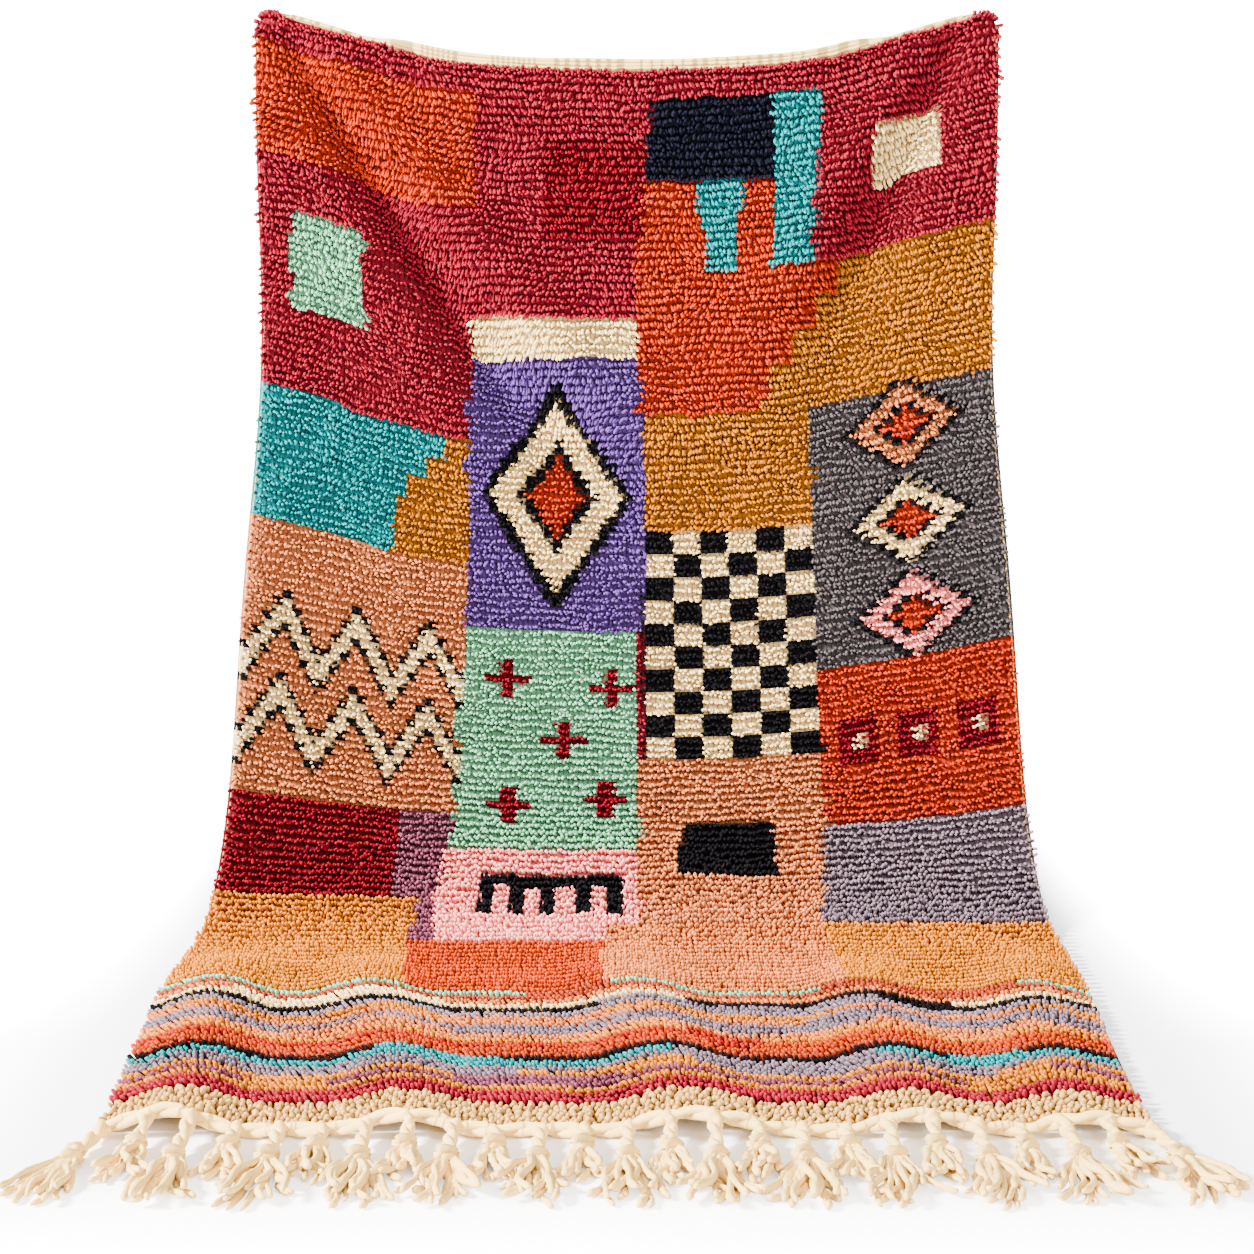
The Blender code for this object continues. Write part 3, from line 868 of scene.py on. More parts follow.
def yarn_end_template():
    """A cut yarn end, as read_template gives it."""
    bm = bmesh.new()
    bmesh.ops.create_circle(bm, cap_ends=True, segments=4, radius=1.0)
    grown = bmesh.ops.extrude_face_region(bm, geom=list(bm.faces))["geom"]
    for item in grown:
        if isinstance(item, bmesh.types.BMVert):
            item.co.z = 1
    top = [item for item in grown if isinstance(item, bmesh.types.BMFace)]
    for vert in bmesh.ops.poke(bm, faces=top)["verts"]:
        vert.co.z = 2
    return read_template(bm, along=(0.0, 0.84, 1.0), radius=(0.80, 1.00, 0.0))


def loop_template():
    """A round loop of thick yarn, as read_template gives it."""
    bm = bmesh.new()
    bmesh.ops.create_uvsphere(bm, u_segments=6, v_segments=4, radius=1.0)
    for vert in bm.verts:
        vert.co.z = round((math.asin(max(-1, min(1, vert.co.z))) / math.pi + 0.5) * 4)
    return read_template(bm, along=(0.0, 0.15, 0.50, 0.85, 1.0), radius=(0.0, 0.75, 1.0, 0.75, 0.0))


@functools.cache
def tube_template(sides, rings):
    """A closed tube of a number of rings, for a cord to be laid with."""
    bm = bmesh.new()
    face = bmesh.ops.create_circle(bm, cap_ends=True, segments=sides, radius=1.0)["verts"][0].link_faces[0]
    for ring in range(1, rings):
        grown = bmesh.ops.extrude_face_region(bm, geom=[face])["geom"]
        face = [item for item in grown if isinstance(item, bmesh.types.BMFace)][0]
        for vert in face.verts:
            vert.co.z = ring
    return read_template(bm, along=range(rings), radius=(1.0,) * rings)


def read_template(bm, along, radius):
    """The vertices' angles, places along the yarn and shares of its radius, and the faces, turned outward."""
    bmesh.ops.recalc_face_normals(bm, faces=list(bm.faces))
    bm.verts.ensure_lookup_table()
    rings = np.array([round(v.co.z) for v in bm.verts])
    template = {
        "angle": np.array([math.atan2(v.co.y, v.co.x) for v in bm.verts]),
        "along": np.array(along)[rings],
        "radius": np.array(radius)[rings],
        "faces": [[v.index for v in f.verts] for f in bm.faces],
    }
    bm.free()
    return template


def join_copies(name, template, points, finish, tip, shade):
    """One mesh of many copies of a template, whose points are given copy by copy."""
    points[..., 2] = np.maximum(points[..., 2], FLOOR_Z + FLOOR_CLEARANCE)
    count, per = points.shape[:2]
    corners = np.concatenate([np.array(face) for face in template["faces"]])
    sizes = np.array([len(face) for face in template["faces"]])
    mesh = bpy.data.meshes.new(name)
    mesh.vertices.add(count * per)
    mesh.vertices.foreach_set("co", points.astype(np.float32).ravel())
    loops = (corners[None, :] + (np.arange(count) * per)[:, None]).ravel()
    mesh.loops.add(len(loops))
    mesh.loops.foreach_set("vertex_index", loops.astype(np.int32))
    totals = np.tile(sizes, count)
    starts = np.concatenate([[0], np.cumsum(totals)[:-1]])
    mesh.polygons.add(len(totals))
    mesh.polygons.foreach_set("loop_start", starts.astype(np.int32))
    mesh.polygons.foreach_set("use_smooth", np.ones(len(totals), bool))
    mesh.update(calc_edges=True)
    point_values(mesh, "tip", tip)
    point_values(mesh, "shade", shade)
    mesh.materials.append(finish)
    return place_piece(mesh, name)


def drift(rng, across, arc, wavelength):
    """A smooth wander over the cloth, about one unit either way."""
    total = np.zeros_like(arc)
    for _ in range(6):
        heading, phase = rng.uniform(0, 2 * math.pi, 2)
        length = wavelength * rng.uniform(0.6, 1.6)
        along = across * math.cos(heading) + arc * math.sin(heading)
        total += np.sin(along * 2 * math.pi / length + phase)
    return total / math.sqrt(3)


def make_stubs(name, finish, template, yarns, lift):
    """Many short yarns as one mesh: the template, bent, sized and placed for each."""
    angle, t = template["angle"][None, :], template["along"][None, :]
    across, arc = yarns["across"], yarns["arc"]
    length, radius, root_lean, tip_lean, sideways = (yarns[key][:, None] for key in YARN_SHAPE)
    base = cloth_points(across, arc, lift)
    foot_across, foot_arc, past = turned_back(across, arc)[:3]
    folded = past[:, None] > 0
    turned = unit(cloth_points(across, arc, lift + 0.001) - base)
    normal = unit(np.where(folded, turned, look_up("normal", across, arc)))
    down = cloth_points(across, arc + 0.002, lift) - cloth_points(across, arc - 0.002, lift)
    to_foot = np.where(folded, cloth_points(foot_across, foot_arc, lift) - base, 0.0)
    down = unit(down) * 0.001 + to_foot
    down = unit(down - normal * np.sum(down * normal, axis=1, keepdims=True))
    side = np.cross(down, normal)
    way = down * np.cos(sideways) + side * np.sin(sideways)
    side = side * np.cos(sideways) - down * np.sin(sideways)
    lean = root_lean + (tip_lean - root_lean) * t
    mean_lean = (root_lean + lean) / 2
    ring = radius * template["radius"][None, :]
    ring_side, ring_way = ring * np.cos(angle), ring * np.sin(angle)
    out = length * t * np.cos(mean_lean) - ring_way * np.sin(lean)
    ahead = length * t * np.sin(mean_lean) + ring_way * np.cos(lean)
    points = (base[:, None, :] + out[..., None] * normal[:, None, :]
              + ahead[..., None] * way[:, None, :] + ring_side[..., None] * side[:, None, :])
    count, per = points.shape[:2]
    return join_copies(name, template, points, finish, np.tile(template["along"], count),
                       np.repeat(yarns["shade"], per))


def make_ground(sizes, names, cells):
    """The woven ground, a thin closed sheet on the cloth's folds, with the flat band at its top."""
    across = np.linspace(-RUG_WIDTH / 2, RUG_WIDTH / 2, YARN_COLUMNS // GROUND_STEP + 1)
    pitch = (CLOTH_LENGTH - TOP_BAND) / PILE_ROWS
    band_arcs = np.linspace(0.0, TOP_BAND, BAND_ROWS, endpoint=False)
    along = np.concatenate([band_arcs, TOP_BAND + pitch * np.arange(PILE_ROWS + 1)])
    bm = bmesh.new()
    bmesh.ops.create_grid(bm, x_segments=len(across) - 1, y_segments=len(along) - 1, size=0.5)
    for vert in bm.verts:
        vert.co = Vector((round((vert.co.x + 0.5) * (len(across) - 1)),
                          round((vert.co.y + 0.5) * (len(along) - 1)), 0))
    made = bmesh.ops.extrude_face_region(bm, geom=list(bm.faces))
    for item in made["geom"]:
        if isinstance(item, bmesh.types.BMVert):
            item.co.z = 1
    bmesh.ops.recalc_face_normals(bm, faces=list(bm.faces))
    mesh = bpy.data.meshes.new("woven_ground")
    bm.to_mesh(mesh)
    bm.free()
    raw = np.empty(len(mesh.vertices) * 3, np.float32)
    mesh.vertices.foreach_get("co", raw)
    raw = raw.reshape(-1, 3)
    column, row = np.rint(raw[:, 0]).astype(int), np.rint(raw[:, 1]).astype(int)
    thick = np.where(along[row] < TOP_BAND + 1e-6, sizes.band, sizes.ground)
    points = cloth_points(across[column], along[row], raw[:, 2] * thick)
    corner_vertex = np.empty(len(mesh.loops), np.int32)
    mesh.loops.foreach_get("vertex_index", corner_vertex)
    uv = np.stack([column / (len(across) - 1), (along[row] - TOP_BAND) / (pitch * PILE_ROWS)], axis=1)
    uv_layer = mesh.uv_layers.new(name="cloth")
    uv_layer.data.foreach_set("uv", uv[corner_vertex].astype(np.float32).ravel())
    dyes = np.array([[*getattr(bpy.context.scene.rug_dyes, n)] for n in names])
    cream = dyes[names.index("cream")]
    colours = np.ones((len(mesh.loops), 4), np.float32)
    finish = np.zeros(len(mesh.polygons), int)
    for polygon in mesh.polygons:
        verts = list(polygon.vertices)
        c = min(int(min(column[verts])) * GROUND_STEP, YARN_COLUMNS - 1)
        r = int(min(row[verts])) - BAND_ROWS
        level = raw[verts, 2].mean()
        inside = 0 <= r < PILE_ROWS
        finish[polygon.index] = (1 if level > 0.3 else 0) if inside else 2
        colour = dyes[cells[r, c]] if inside else cream
        # Painted shade: the faces under the pile are darkened.
        if inside and level > 0.9:
            colour = colour * UNDER_PILE_PAINTED_SHADE
        start = polygon.loop_start
        colours[start:start + polygon.loop_total, :3] = colour
    mesh.vertices.foreach_set("co", points.astype(np.float32).ravel())
    layer = mesh.color_attributes.new("dye", "FLOAT_COLOR", "CORNER")
    layer.data.foreach_set("color", colours.ravel())
    mesh.materials.append(make_ground_finish("ground back", 0.85))
    mesh.materials.append(make_ground_finish("ground under the pile", 0.0))
    band = brightened(bpy.context.scene.rug_dyes.undyed, BAND_TONE)
    mesh.materials.append(make_wool("flat-woven band", band, fade=0.10, root_depth=0.0))
    mesh.polygons.foreach_set("material_index", finish.astype(np.int32))
    mesh.polygons.foreach_set("use_smooth", np.ones(len(mesh.polygons), bool))
    mesh.update()
    return place_piece(mesh, "woven_ground")


def lay_tube(path, radii, sides, lobes=2, lobe_depth=0.10, turns_per_m=50.0):
    """The points of one cord along a path, its yarn's plies shown as turning lobes."""
    path, radii = np.asarray(path, float), np.asarray(radii, float)
    template = tube_template(sides, len(path))
    ahead = unit(np.gradient(path, axis=0))
    up = np.where(np.abs(ahead[:, 2:3]) > 0.9, [0.0, 1.0, 0.0], [0.0, 0.0, 1.0])
    side = unit(np.cross(ahead, up))
    rise = np.cross(side, ahead)
    gone = np.append(0, np.cumsum(np.linalg.norm(np.diff(path, axis=0), axis=1)))
    ring = template["along"]
    angle = template["angle"]
    swell = 1 + lobe_depth * np.cos(lobes * (angle - 2 * math.pi * turns_per_m * gone[ring]))
    r = (radii[ring] * swell)[:, None]
    return path[ring] + side[ring] * np.cos(angle)[:, None] * r + rise[ring] * np.sin(angle)[:, None] * r


def twist(path, thickness, turns_per_m, sides, squash=1.0, start_angle=0.0):
    """The two plies of a twisted cord along a path, which narrow with it."""
    path, thickness = np.asarray(path, float), np.asarray(thickness, float)
    ahead = unit(np.gradient(path, axis=0))
    side = unit(np.cross(ahead, [0.0, 0.0, 1.0]))
    rise = np.cross(side, ahead)
    gone = np.append(0, np.cumsum(np.linalg.norm(np.diff(path, axis=0), axis=1)))
    plies = []
    for ply in range(2):
        angle = start_angle + 2 * math.pi * turns_per_m * gone + ply * math.pi
        off = thickness[:, None] * PLY_OFFSET
        centres = path + (side * np.cos(angle)[:, None] + rise * np.sin(angle)[:, None] * squash) * off
        radii = thickness * PLY_RADIUS
        centres[:, 2] = np.maximum(centres[:, 2], FLOOR_Z + radii)
        plies.append(lay_tube(centres, radii, sides, lobes=3, lobe_depth=0.06,
                              turns_per_m=-turns_per_m * 2))
    return plies


def lay_cords(name, tubes, sides, finish, seed):
    """Joins cords of one size into a smooth piece, its shade changing slowly from place to place."""
    points = np.array(tubes)
    template = tube_template(sides, points.shape[1] // sides)
    flat = points.reshape(-1, 3)
    usual, reach, length = CORD_SHADE
    shade = usual + reach * drift(np.random.default_rng(seed), flat[:, 0], flat[:, 1], length)
    return join_copies(name, template, points, finish, np.ones(len(flat)), np.clip(shade, 0, 1))


def tassel_places():
    """Where each tassel leaves the heading, and which way it points, in order across the rug."""
    pitch = (RUG_WIDTH - 2 * HEADING_INSET - 2 * ROOT_HALF_WIDTH) / (TASSELS - 1)
    for number in range(TASSELS):
        across = (number - (TASSELS - 1) / 2) * pitch
        sway = SWAY_DEG * math.sin(2.3 * number)
        turn = FAN_OUT_DEG * (2 * across / RUG_WIDTH) ** FAN_OUT_POWER + sway
        yield number, across, math.radians(turn)


def front_lift(across):
    return float(ripple_height(across, np.array([CLOTH_LENGTH]))[0])


TASSEL_FORMS = {  # distances from the heading's front, in metres
    "long": {"knot": 0.048, "end": 0.127, "spread_deg": 25.0, "stem": 0.0070, "yarns": 1.0},
    "short": {"knot": 0.027, "end": 0.085, "spread_deg": 21.0, "stem": 0.0066, "yarns": 0.75},
}


# Operators.

class RugStep:
    """What every step's operator shares."""

    bl_options = {"REGISTER"}

    def fail(self, words):
        raise RuntimeError(f"{self.bl_idname}: {words}")


class RUG_OT_ground(RugStep, bpy.types.Operator):
    """Weaves the ground that carries the pile"""

    bl_idname = "rug.ground"
    bl_label = "Woven ground"

    def execute(self, context):
        names = list(DYES)
        piece = make_ground(context.scene.rug_sizes, names, make_pattern(names))
        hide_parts("pile_cloth")
        return {"FINISHED"}


class RUG_OT_pile(RugStep, bpy.types.Operator):
    """Knots the cut pile, one piece for each dye"""

    bl_idname = "rug.pile"
    bl_label = "Knotted pile"

    def execute(self, context):
        sizes, dyes = context.scene.rug_sizes, context.scene.rug_dyes
        names = list(DYES)
        cells = make_pattern(names)
        rng = np.random.default_rng(SEED + 1)
        yarns, dye = self.spread_yarns(sizes, cells, rng, len(names))
        template = yarn_end_template()
        for number, name in enumerate(names):
            chosen = dye == number
            if not chosen.any():
                continue
            finish = make_wool(f"{name} wool", tuple(getattr(dyes, name)))
            own = {key: value[chosen] for key, value in yarns.items()}
            make_stubs(f"pile_{name}", finish, template, own, sizes.ground * 0.6)
        return {"FINISHED"}

    def spread_yarns(self, sizes, cells, rng, dye_count):
        """The place, size, lean and shade of every yarn end, and the number of its dye."""
        per_row = YARN_COLUMNS * ENDS_PER_COLUMN
        all_rows = np.arange(-TOP_EDGE_ROWS, LOOP_ROWS_FROM)
        rows, ends = (grid.ravel() for grid in np.meshgrid(all_rows, np.arange(per_row), indexing="ij"))
        columns = ends // ENDS_PER_COLUMN
        count = len(rows)
        edge_row = rows < 0
        half = RUG_WIDTH / 2
        across = ((ends + 0.5) / per_row - 0.5) * (RUG_WIDTH - 2 * sizes.yarn_radius)
        calm = 1 - CALM_SHARE * smooth_step((row_arc(rows) - CALM_FROM) / CALM_OVER)
        laid = smooth_step((row_arc(rows) - LAID_FROM) / LAID_OVER)
        loose = np.maximum(calm, laid)
        top_arc = TOP_BAND + TOP_EDGE_PITCH * (rows + TOP_EDGE_ROWS + 0.4)
        arc = np.where(edge_row, top_arc, row_arc(rows))
        wide, close = (reach * calm * drift(rng, across, arc, length) for reach, length in ROW_WANDER)
        arc = arc + wide + close
        arc += (ends % 2 * 2 - 1) * (END_STAGGER * calm + LAID_STAGGER * laid)
        arc += rng.normal(0, PLACE_SCATTER, count) * loose
        arc = np.where(np.abs(across) > half - CORNER_RADIUS, arc, np.maximum(arc, TOP_BAND + BAND_MARGIN))
        across = across + rng.normal(0, PLACE_SCATTER, count)
        across = np.clip(across, -half + SIDE_MARGIN, half - SIDE_MARGIN)
        upright = np.clip(look_up("normal", across, arc)[:, 2], 0, 1) ** LYING_POWER
        comb = COMB_DRIFT[0] * drift(rng, across, arc, COMB_DRIFT[1])
        dye = cells[np.maximum(rows, 0), columns]
        row_shade = rng.normal(0, ROW_SHADE_SCATTER, (PILE_ROWS, dye_count))[np.maximum(rows, 0), dye]
        outward = smooth_step((np.abs(across) - OUTWARD_FROM) / OUTWARD_OVER) * np.sign(across)
        bare = (across < 0) & (arc > BARE_EDGE[0]) & (arc < BARE_EDGE[1])
        outward = outward * np.where(bare, BARE_EDGE[2], EDGE_SPLAY)
        past = turned_back(across, arc)[2]
        flattened = 1 - LYING_SHORTER * upright
        shorter = np.where(past > 0, CORNER_LENGTH, 1.0)
        thicker = 1 + EDGE_THICKER * np.minimum(np.abs(outward), 1.0)
        thicker = np.where(past > 0, CORNER_THICKNESS, 1.0) * thicker
        root_lean = np.where(edge_row, TOP_ROOT_LEAN_DEG, ROOT_LEAN_DEG[0] - ROOT_LEAN_DEG[1] * upright)
        tip_lean = TIP_LEAN_DEG[0] - TIP_LEAN_DEG[1] * upright + LAID_LEAN * laid
        tip_lean = np.where(edge_row, TOP_TIP_LEAN_DEG[0] + TOP_TIP_LEAN_DEG[1] * rows, tip_lean)
        tip_lean = np.where(past > 0, CORNER_LEAN_DEG, tip_lean)
        tip_drift, drift_length = TIP_DRIFT
        yarns = {
            "across": across,
            "arc": arc,
            "length": (sizes.yarn_length * (1 + rng.normal(0, LENGTH_SCATTER, count) * calm)
                       * flattened * shorter),
            "radius": sizes.yarn_radius * rng.normal(1, RADIUS_SCATTER, count) * thicker,
            "root_lean": np.radians(root_lean) + rng.normal(0, ROOT_SCATTER, count) * calm,
            "tip_lean": (np.radians(tip_lean) + tip_drift * drift(rng, across, arc, drift_length)
                         + rng.normal(0, TIP_SCATTER, count) * calm),
            "sideways": ((comb + rng.normal(0, SIDEWAYS_SCATTER, count)) * loose
                         + LAID_SIDEWAYS * laid - outward),
            "shade": np.clip(USUAL_SHADE + row_shade + rng.normal(0, SHADE_SCATTER, count), 0, 1),
        }
        keep = past <= CORNER_PILE
        return {key: value[keep] for key, value in yarns.items()}, dye[keep]


class RUG_OT_loops(RugStep, bpy.types.Operator):
    """Works the chunky loops that end the pile at the front"""

    bl_idname = "rug.loops"
    bl_label = "Chunky loops"

    def execute(self, context):
        sizes, dyes = context.scene.rug_sizes, context.scene.rug_dyes
        rng = np.random.default_rng(SEED + 2)
        rows, columns = np.meshgrid(np.arange(LOOP_ROWS), np.arange(LOOPS_ACROSS), indexing="ij")
        rows, columns = rows.ravel(), columns.ravel()
        count = len(rows)
        start = row_arc(LOOP_ROWS_FROM) - LOOP_LAP
        pitch = (CLOTH_LENGTH - start) / LOOP_ROWS
        across = ((columns + 0.5 + 0.5 * (rows % 2)) / (LOOPS_ACROSS + 0.5) - 0.5) * RUG_WIDTH
        yarns = {
            "across": np.clip(across + rng.normal(0, LOOP_SCATTER[0], count), -LOOP_REACH, LOOP_REACH),
            "arc": start + pitch * (rows + 0.42) + rng.normal(0, LOOP_SCATTER[1], count),
            "length": rng.normal(*LOOP_LENGTH, count),
            "radius": sizes.loop_radius * rng.normal(*LOOP_RADIUS_SHARE, count),
            "root_lean": np.full(count, LOOP_ROOT_LEAN),
            "tip_lean": np.radians(rng.normal(*LOOP_TIP_LEAN_DEG, count)),
            "sideways": rng.normal(*LOOP_SIDEWAYS, count),
            "shade": rng.uniform(*LOOP_SHADES, count),
        }
        # The loops get strong painted shade towards their feet.
        finish = make_wool("tan wool", tuple(dyes.tan), root_depth=0.6)
        make_stubs("front_loops", finish, loop_template(), yarns, sizes.ground * 0.5)
        return {"FINISHED"}


class RUG_OT_edges(RugStep, bpy.types.Operator):
    """Binds the two sides and twines cords along the flat top band"""

    bl_idname = "rug.edges"
    bl_label = "Side bindings and top cords"

    def execute(self, context):
        tone = brightened(context.scene.rug_dyes.undyed, BINDING_TONE)
        finish = make_wool("undyed binding", tone, fade=0.04, root_depth=0.0)
        arcs = np.linspace(TOP_BAND + CORNER_RADIUS * 0.9, CLOTH_LENGTH - 0.002, BINDING_STEPS)
        tubes = []
        for side in (-1, 1):
            across = np.full(len(arcs), side * (RUG_WIDTH / 2 - BINDING_INSET))
            path = cloth_points(across, arcs, np.full(len(arcs), BINDING_LIFT))
            tubes.append(lay_tube(path, np.full(len(arcs), BINDING_RADIUS), BINDING_SIDES,
                                  turns_per_m=BINDING_TURNS))
        lay_cords("side_bindings", tubes, BINDING_SIDES, finish, SEED + 3)
        inset = RUG_WIDTH / 2 - TOP_CORD_INSET
        across = np.linspace(-inset, inset, TOP_CORD_STEPS)
        reach, pace = TOP_CORD_WANDER
        tubes = []
        for number, arc in enumerate(TOP_CORD_ARCS):
            arcs = arc + reach * np.sin(across * pace + number * 2)
            path = cloth_points(across, arcs, np.full(len(across), TOP_CORD_LIFT))
            tubes.append(lay_tube(path, np.full(len(across), TOP_CORD_RADIUS), TOP_CORD_SIDES,
                                  lobe_depth=0.05, turns_per_m=TOP_CORD_TURNS))
        lay_cords("top_band_cords", tubes, TOP_CORD_SIDES, finish, SEED + 4)
        return {"FINISHED"}


class RUG_OT_heading(RugStep, bpy.types.Operator):
    """Twines the thick heading along the front end"""

    bl_idname = "rug.heading"
    bl_label = "Twined heading"

    def execute(self, context):
        finish = make_wool("heading wool", tuple(context.scene.rug_dyes.undyed), fade=0.10, root_depth=0.0,
                           fibre_scale=600.0)
        x = np.linspace(-RUG_WIDTH / 2 + HEADING_INSET, RUG_WIDTH / 2 - HEADING_INSET, HEADING_STEPS)
        wobble = sum(reach * np.sin(x * pace) for reach, pace in HEADING_WOBBLE)
        lift = np.array([front_lift(place) for place in x])
        height = FLOOR_Z + lift + HEADING_LIFT + wobble * 0.5
        path = np.stack([x, FRONT_Y - HEADING_DEPTH * 0.53 + wobble, height], axis=1)
        thickness = HEADING_PLY * (1 + 0.05 * np.sin(x * 83))
        plies = twist(path, thickness, HEADING_TURNS, HEADING_SIDES, squash=HEADING_SQUASH)
        piece = lay_cords("twined_heading", plies, HEADING_SIDES, finish, SEED + 6)
        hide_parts("tassel_fringe")
        return {"FINISHED"}


class RUG_OT_tassels(RugStep, bpy.types.Operator):
    """Twists, knots and splays the tassels"""

    bl_idname = "rug.tassels"
    bl_label = "Tassels"

    def execute(self, context):
        sizes, dyes = context.scene.rug_sizes, context.scene.rug_dyes
        rng = random.Random(SEED + 7)
        stems, knots, yarns = [], [], []
        for number, across, turn in tassel_places():
            form = TASSEL_FORMS["short" if number % 2 else "long"]
            ahead = np.array([math.sin(turn), -math.cos(turn), 0.0])
            side = np.array([math.cos(turn), math.sin(turn), 0.0])
            front = np.array([across, FRONT_Y - HEADING_DEPTH, FLOOR_Z])
            root = front + np.array([0, HEADING_DEPTH * 0.45, front_lift(across) + STEM_LIFT])
            knot = front + ahead * form["knot"] + np.array([0, 0, KNOT_LIFT])
            stems += self.lay_stem(root, knot, form["stem"], rng)
            knots.append(self.tie_knot(knot, ahead, side, rng))
            count = round(sizes.yarns * form["yarns"])
            yarns += [self.lay_yarn(knot, ahead, side, form, strand, count, sizes.fringe_yarn, rng)
                      for strand in range(count)]
        finish = make_wool("tassel wool", tuple(dyes.undyed), fade=0.10, root_depth=0.0, fibre_scale=650.0)
        lay_cords("tassel_stems", stems, STEM_SIDES, finish, SEED + 8)
        lay_cords("tassel_knots", knots, KNOT_SIDES, finish, SEED + 9)
        lay_cords("tassel_yarns", yarns, YARN_SIDES, finish, SEED + 10)
        return {"FINISHED"}

    def lay_stem(self, root, knot, radius, rng):
        """The two-ply stem from inside the heading to the knot, slack where the heading is lifted."""
        share = np.linspace(0, 1, STEM_STEPS)[:, None]
        path = root + (knot - root) * share
        path[:, 2] = knot[2] + (root[2] - knot[2]) * (1 - share[:, 0]) ** STEM_SLACK_POWER
        ends, waist = STEM_THICKNESS
        thickness = radius * (ends - waist * np.sin(share[:, 0] * math.pi) ** 0.7)
        return twist(path, thickness, STEM_TURNS, STEM_SIDES, start_angle=rng.uniform(0, math.pi))

    def tie_knot(self, knot, ahead, side, rng):
        """An overhand knot: a thick strand that goes twice round and crosses over itself."""
        share = np.linspace(0, 1, KNOT_STEPS)[:, None]
        swell = np.sin(share * math.pi)
        angle = rng.uniform(0, 2 * math.pi) + share * KNOT_ROUNDS * 2 * math.pi
        out = KNOT_REACH * (0.30 + 0.70 * swell ** 0.5)
        along = (share - 0.5) * KNOT_LENGTH + KNOT_CROSSING * np.sin(angle * 0.5)
        rise = np.array([0, 0, KNOT_FLATNESS])
        path = knot + ahead * along + side * np.cos(angle) * out + rise * np.sin(angle) * out
        radii = KNOT_RADIUS * (0.25 + 0.75 * swell[:, 0] ** 0.6)
        path[:, 2] = np.maximum(path[:, 2], FLOOR_Z + radii)
        return lay_tube(path, radii, KNOT_SIDES, turns_per_m=KNOT_TURNS)

    def lay_yarn(self, knot, ahead, side, form, strand, count, radius, rng):
        """One loose yarn, from inside the knot out over the floor, ending in a curl."""
        share = 2 * (strand + 0.5) / count - 1
        bend = math.radians(form["spread_deg"]) * share
        bend += rng.uniform(-YARN_BEND_SCATTER, YARN_BEND_SCATTER)
        middle, outer = YARN_OUTER_SHORTER
        length = (form["end"] - form["knot"]) * rng.uniform(*YARN_LENGTHS) * (middle - outer * share * share)
        radius = radius * rng.uniform(*YARN_RADII)
        layer = rng.choice(YARN_LAYERS)
        rest = FLOOR_Z + radius * 1.02 + layer * radius * YARN_LAYER_RISE
        phase, wave = rng.uniform(0, 2 * math.pi), rng.uniform(*YARN_WAVES)
        curl = rng.choice((-1, 1)) * rng.uniform(*YARN_CURLS)
        t = np.linspace(0, 1, YARN_STEPS)
        way = bend * (1.25 - 0.5 * t) + wave * np.sin(phase + t * YARN_WAVE_PACE)
        way += curl * np.maximum(0, (t - YARN_CURL_FROM) / (1 - YARN_CURL_FROM))
        steps = (ahead * np.cos(way)[:, None] + side * np.sin(way)[:, None]) * (length / (len(t) - 1))
        steps[0] = 0
        path = knot + side * (share * YARN_ROOT_SPREAD) + ahead * 0.001 + np.cumsum(steps, axis=0)
        fall = np.minimum(1.0, t * YARN_FALL_PACE)
        path[:, 2] = knot[2] + (rest - knot[2]) * fall * (2 - fall)
        path[:, 2] += np.abs(np.sin(phase * 2 + t * 7)) * radius * 0.7 * t * (1 if layer else 0.1)
        radii = radius * (0.92 + 0.15 * np.sin(phase + t * 13))
        radii[-1] *= YARN_TIP_RADIUS
        path[:, 2] = np.maximum(path[:, 2], FLOOR_Z + radii)
        return lay_tube(path, radii, YARN_SIDES, lobe_depth=0.13, turns_per_m=YARN_TURNS)


class RUG_OT_declare(RugStep, bpy.types.Operator):
    """Checks that the woven ground has been made, and fails if not"""

    bl_idname = "rug.declare"
    bl_label = "Declare the cloth"

    def execute(self, context):
        ground = bpy.data.objects.get("woven_ground")
        if ground is None:
            self.fail("the woven ground comes first")
        return {"FINISHED"}


def brighten_far_paper(tree, shader):
    """Lifts the paper towards white for the camera, but for the shadows near the rug."""
    place = tree.nodes.new("ShaderNodeSeparateXYZ")
    tree.links.new(tree.nodes.new("ShaderNodeTexCoord").outputs["Object"], place.inputs[0])
    x, y = place.outputs[0], place.outputs[1]
    beside = math_node(tree, "SUBTRACT", math_node(tree, "ABSOLUTE", x), RUG_WIDTH / 2)
    start, gain = GLOW_CLOSER_BEHIND
    behind = math_node(tree, "MAXIMUM", math_node(tree, "ADD", y, start), 0.0)
    beside = math_node(tree, "MULTIPLY", beside, math_node(tree, "MULTIPLY_ADD", behind, gain, 1.0))
    half_depth = (HEADING_DEPTH - FRONT_Y) / 2
    before = math_node(tree, "ABSOLUTE", math_node(tree, "ADD", y, half_depth))
    away = math_node(tree, "MAXIMUM", beside, math_node(tree, "SUBTRACT", before, half_depth))
    glow = 0.0
    for reach_from, reach_to, share in PAPER_GLOW:
        glow = math_node(tree, "ADD", eased(tree, away, reach_from, reach_to, share), glow)
    seen = tree.nodes.new("ShaderNodeLightPath").outputs["Is Camera Ray"]
    glow = math_node(tree, "MULTIPLY", glow, seen)
    colour = mix_colour(tree, glow, (0.0, 0.0, 0.0, 1.0), (1.0, 1.0, 1.0, 1.0))
    tree.links.new(colour, shader.inputs["Emission Color"])
    shader.inputs["Emission Strength"].default_value = SEEN_WHITE


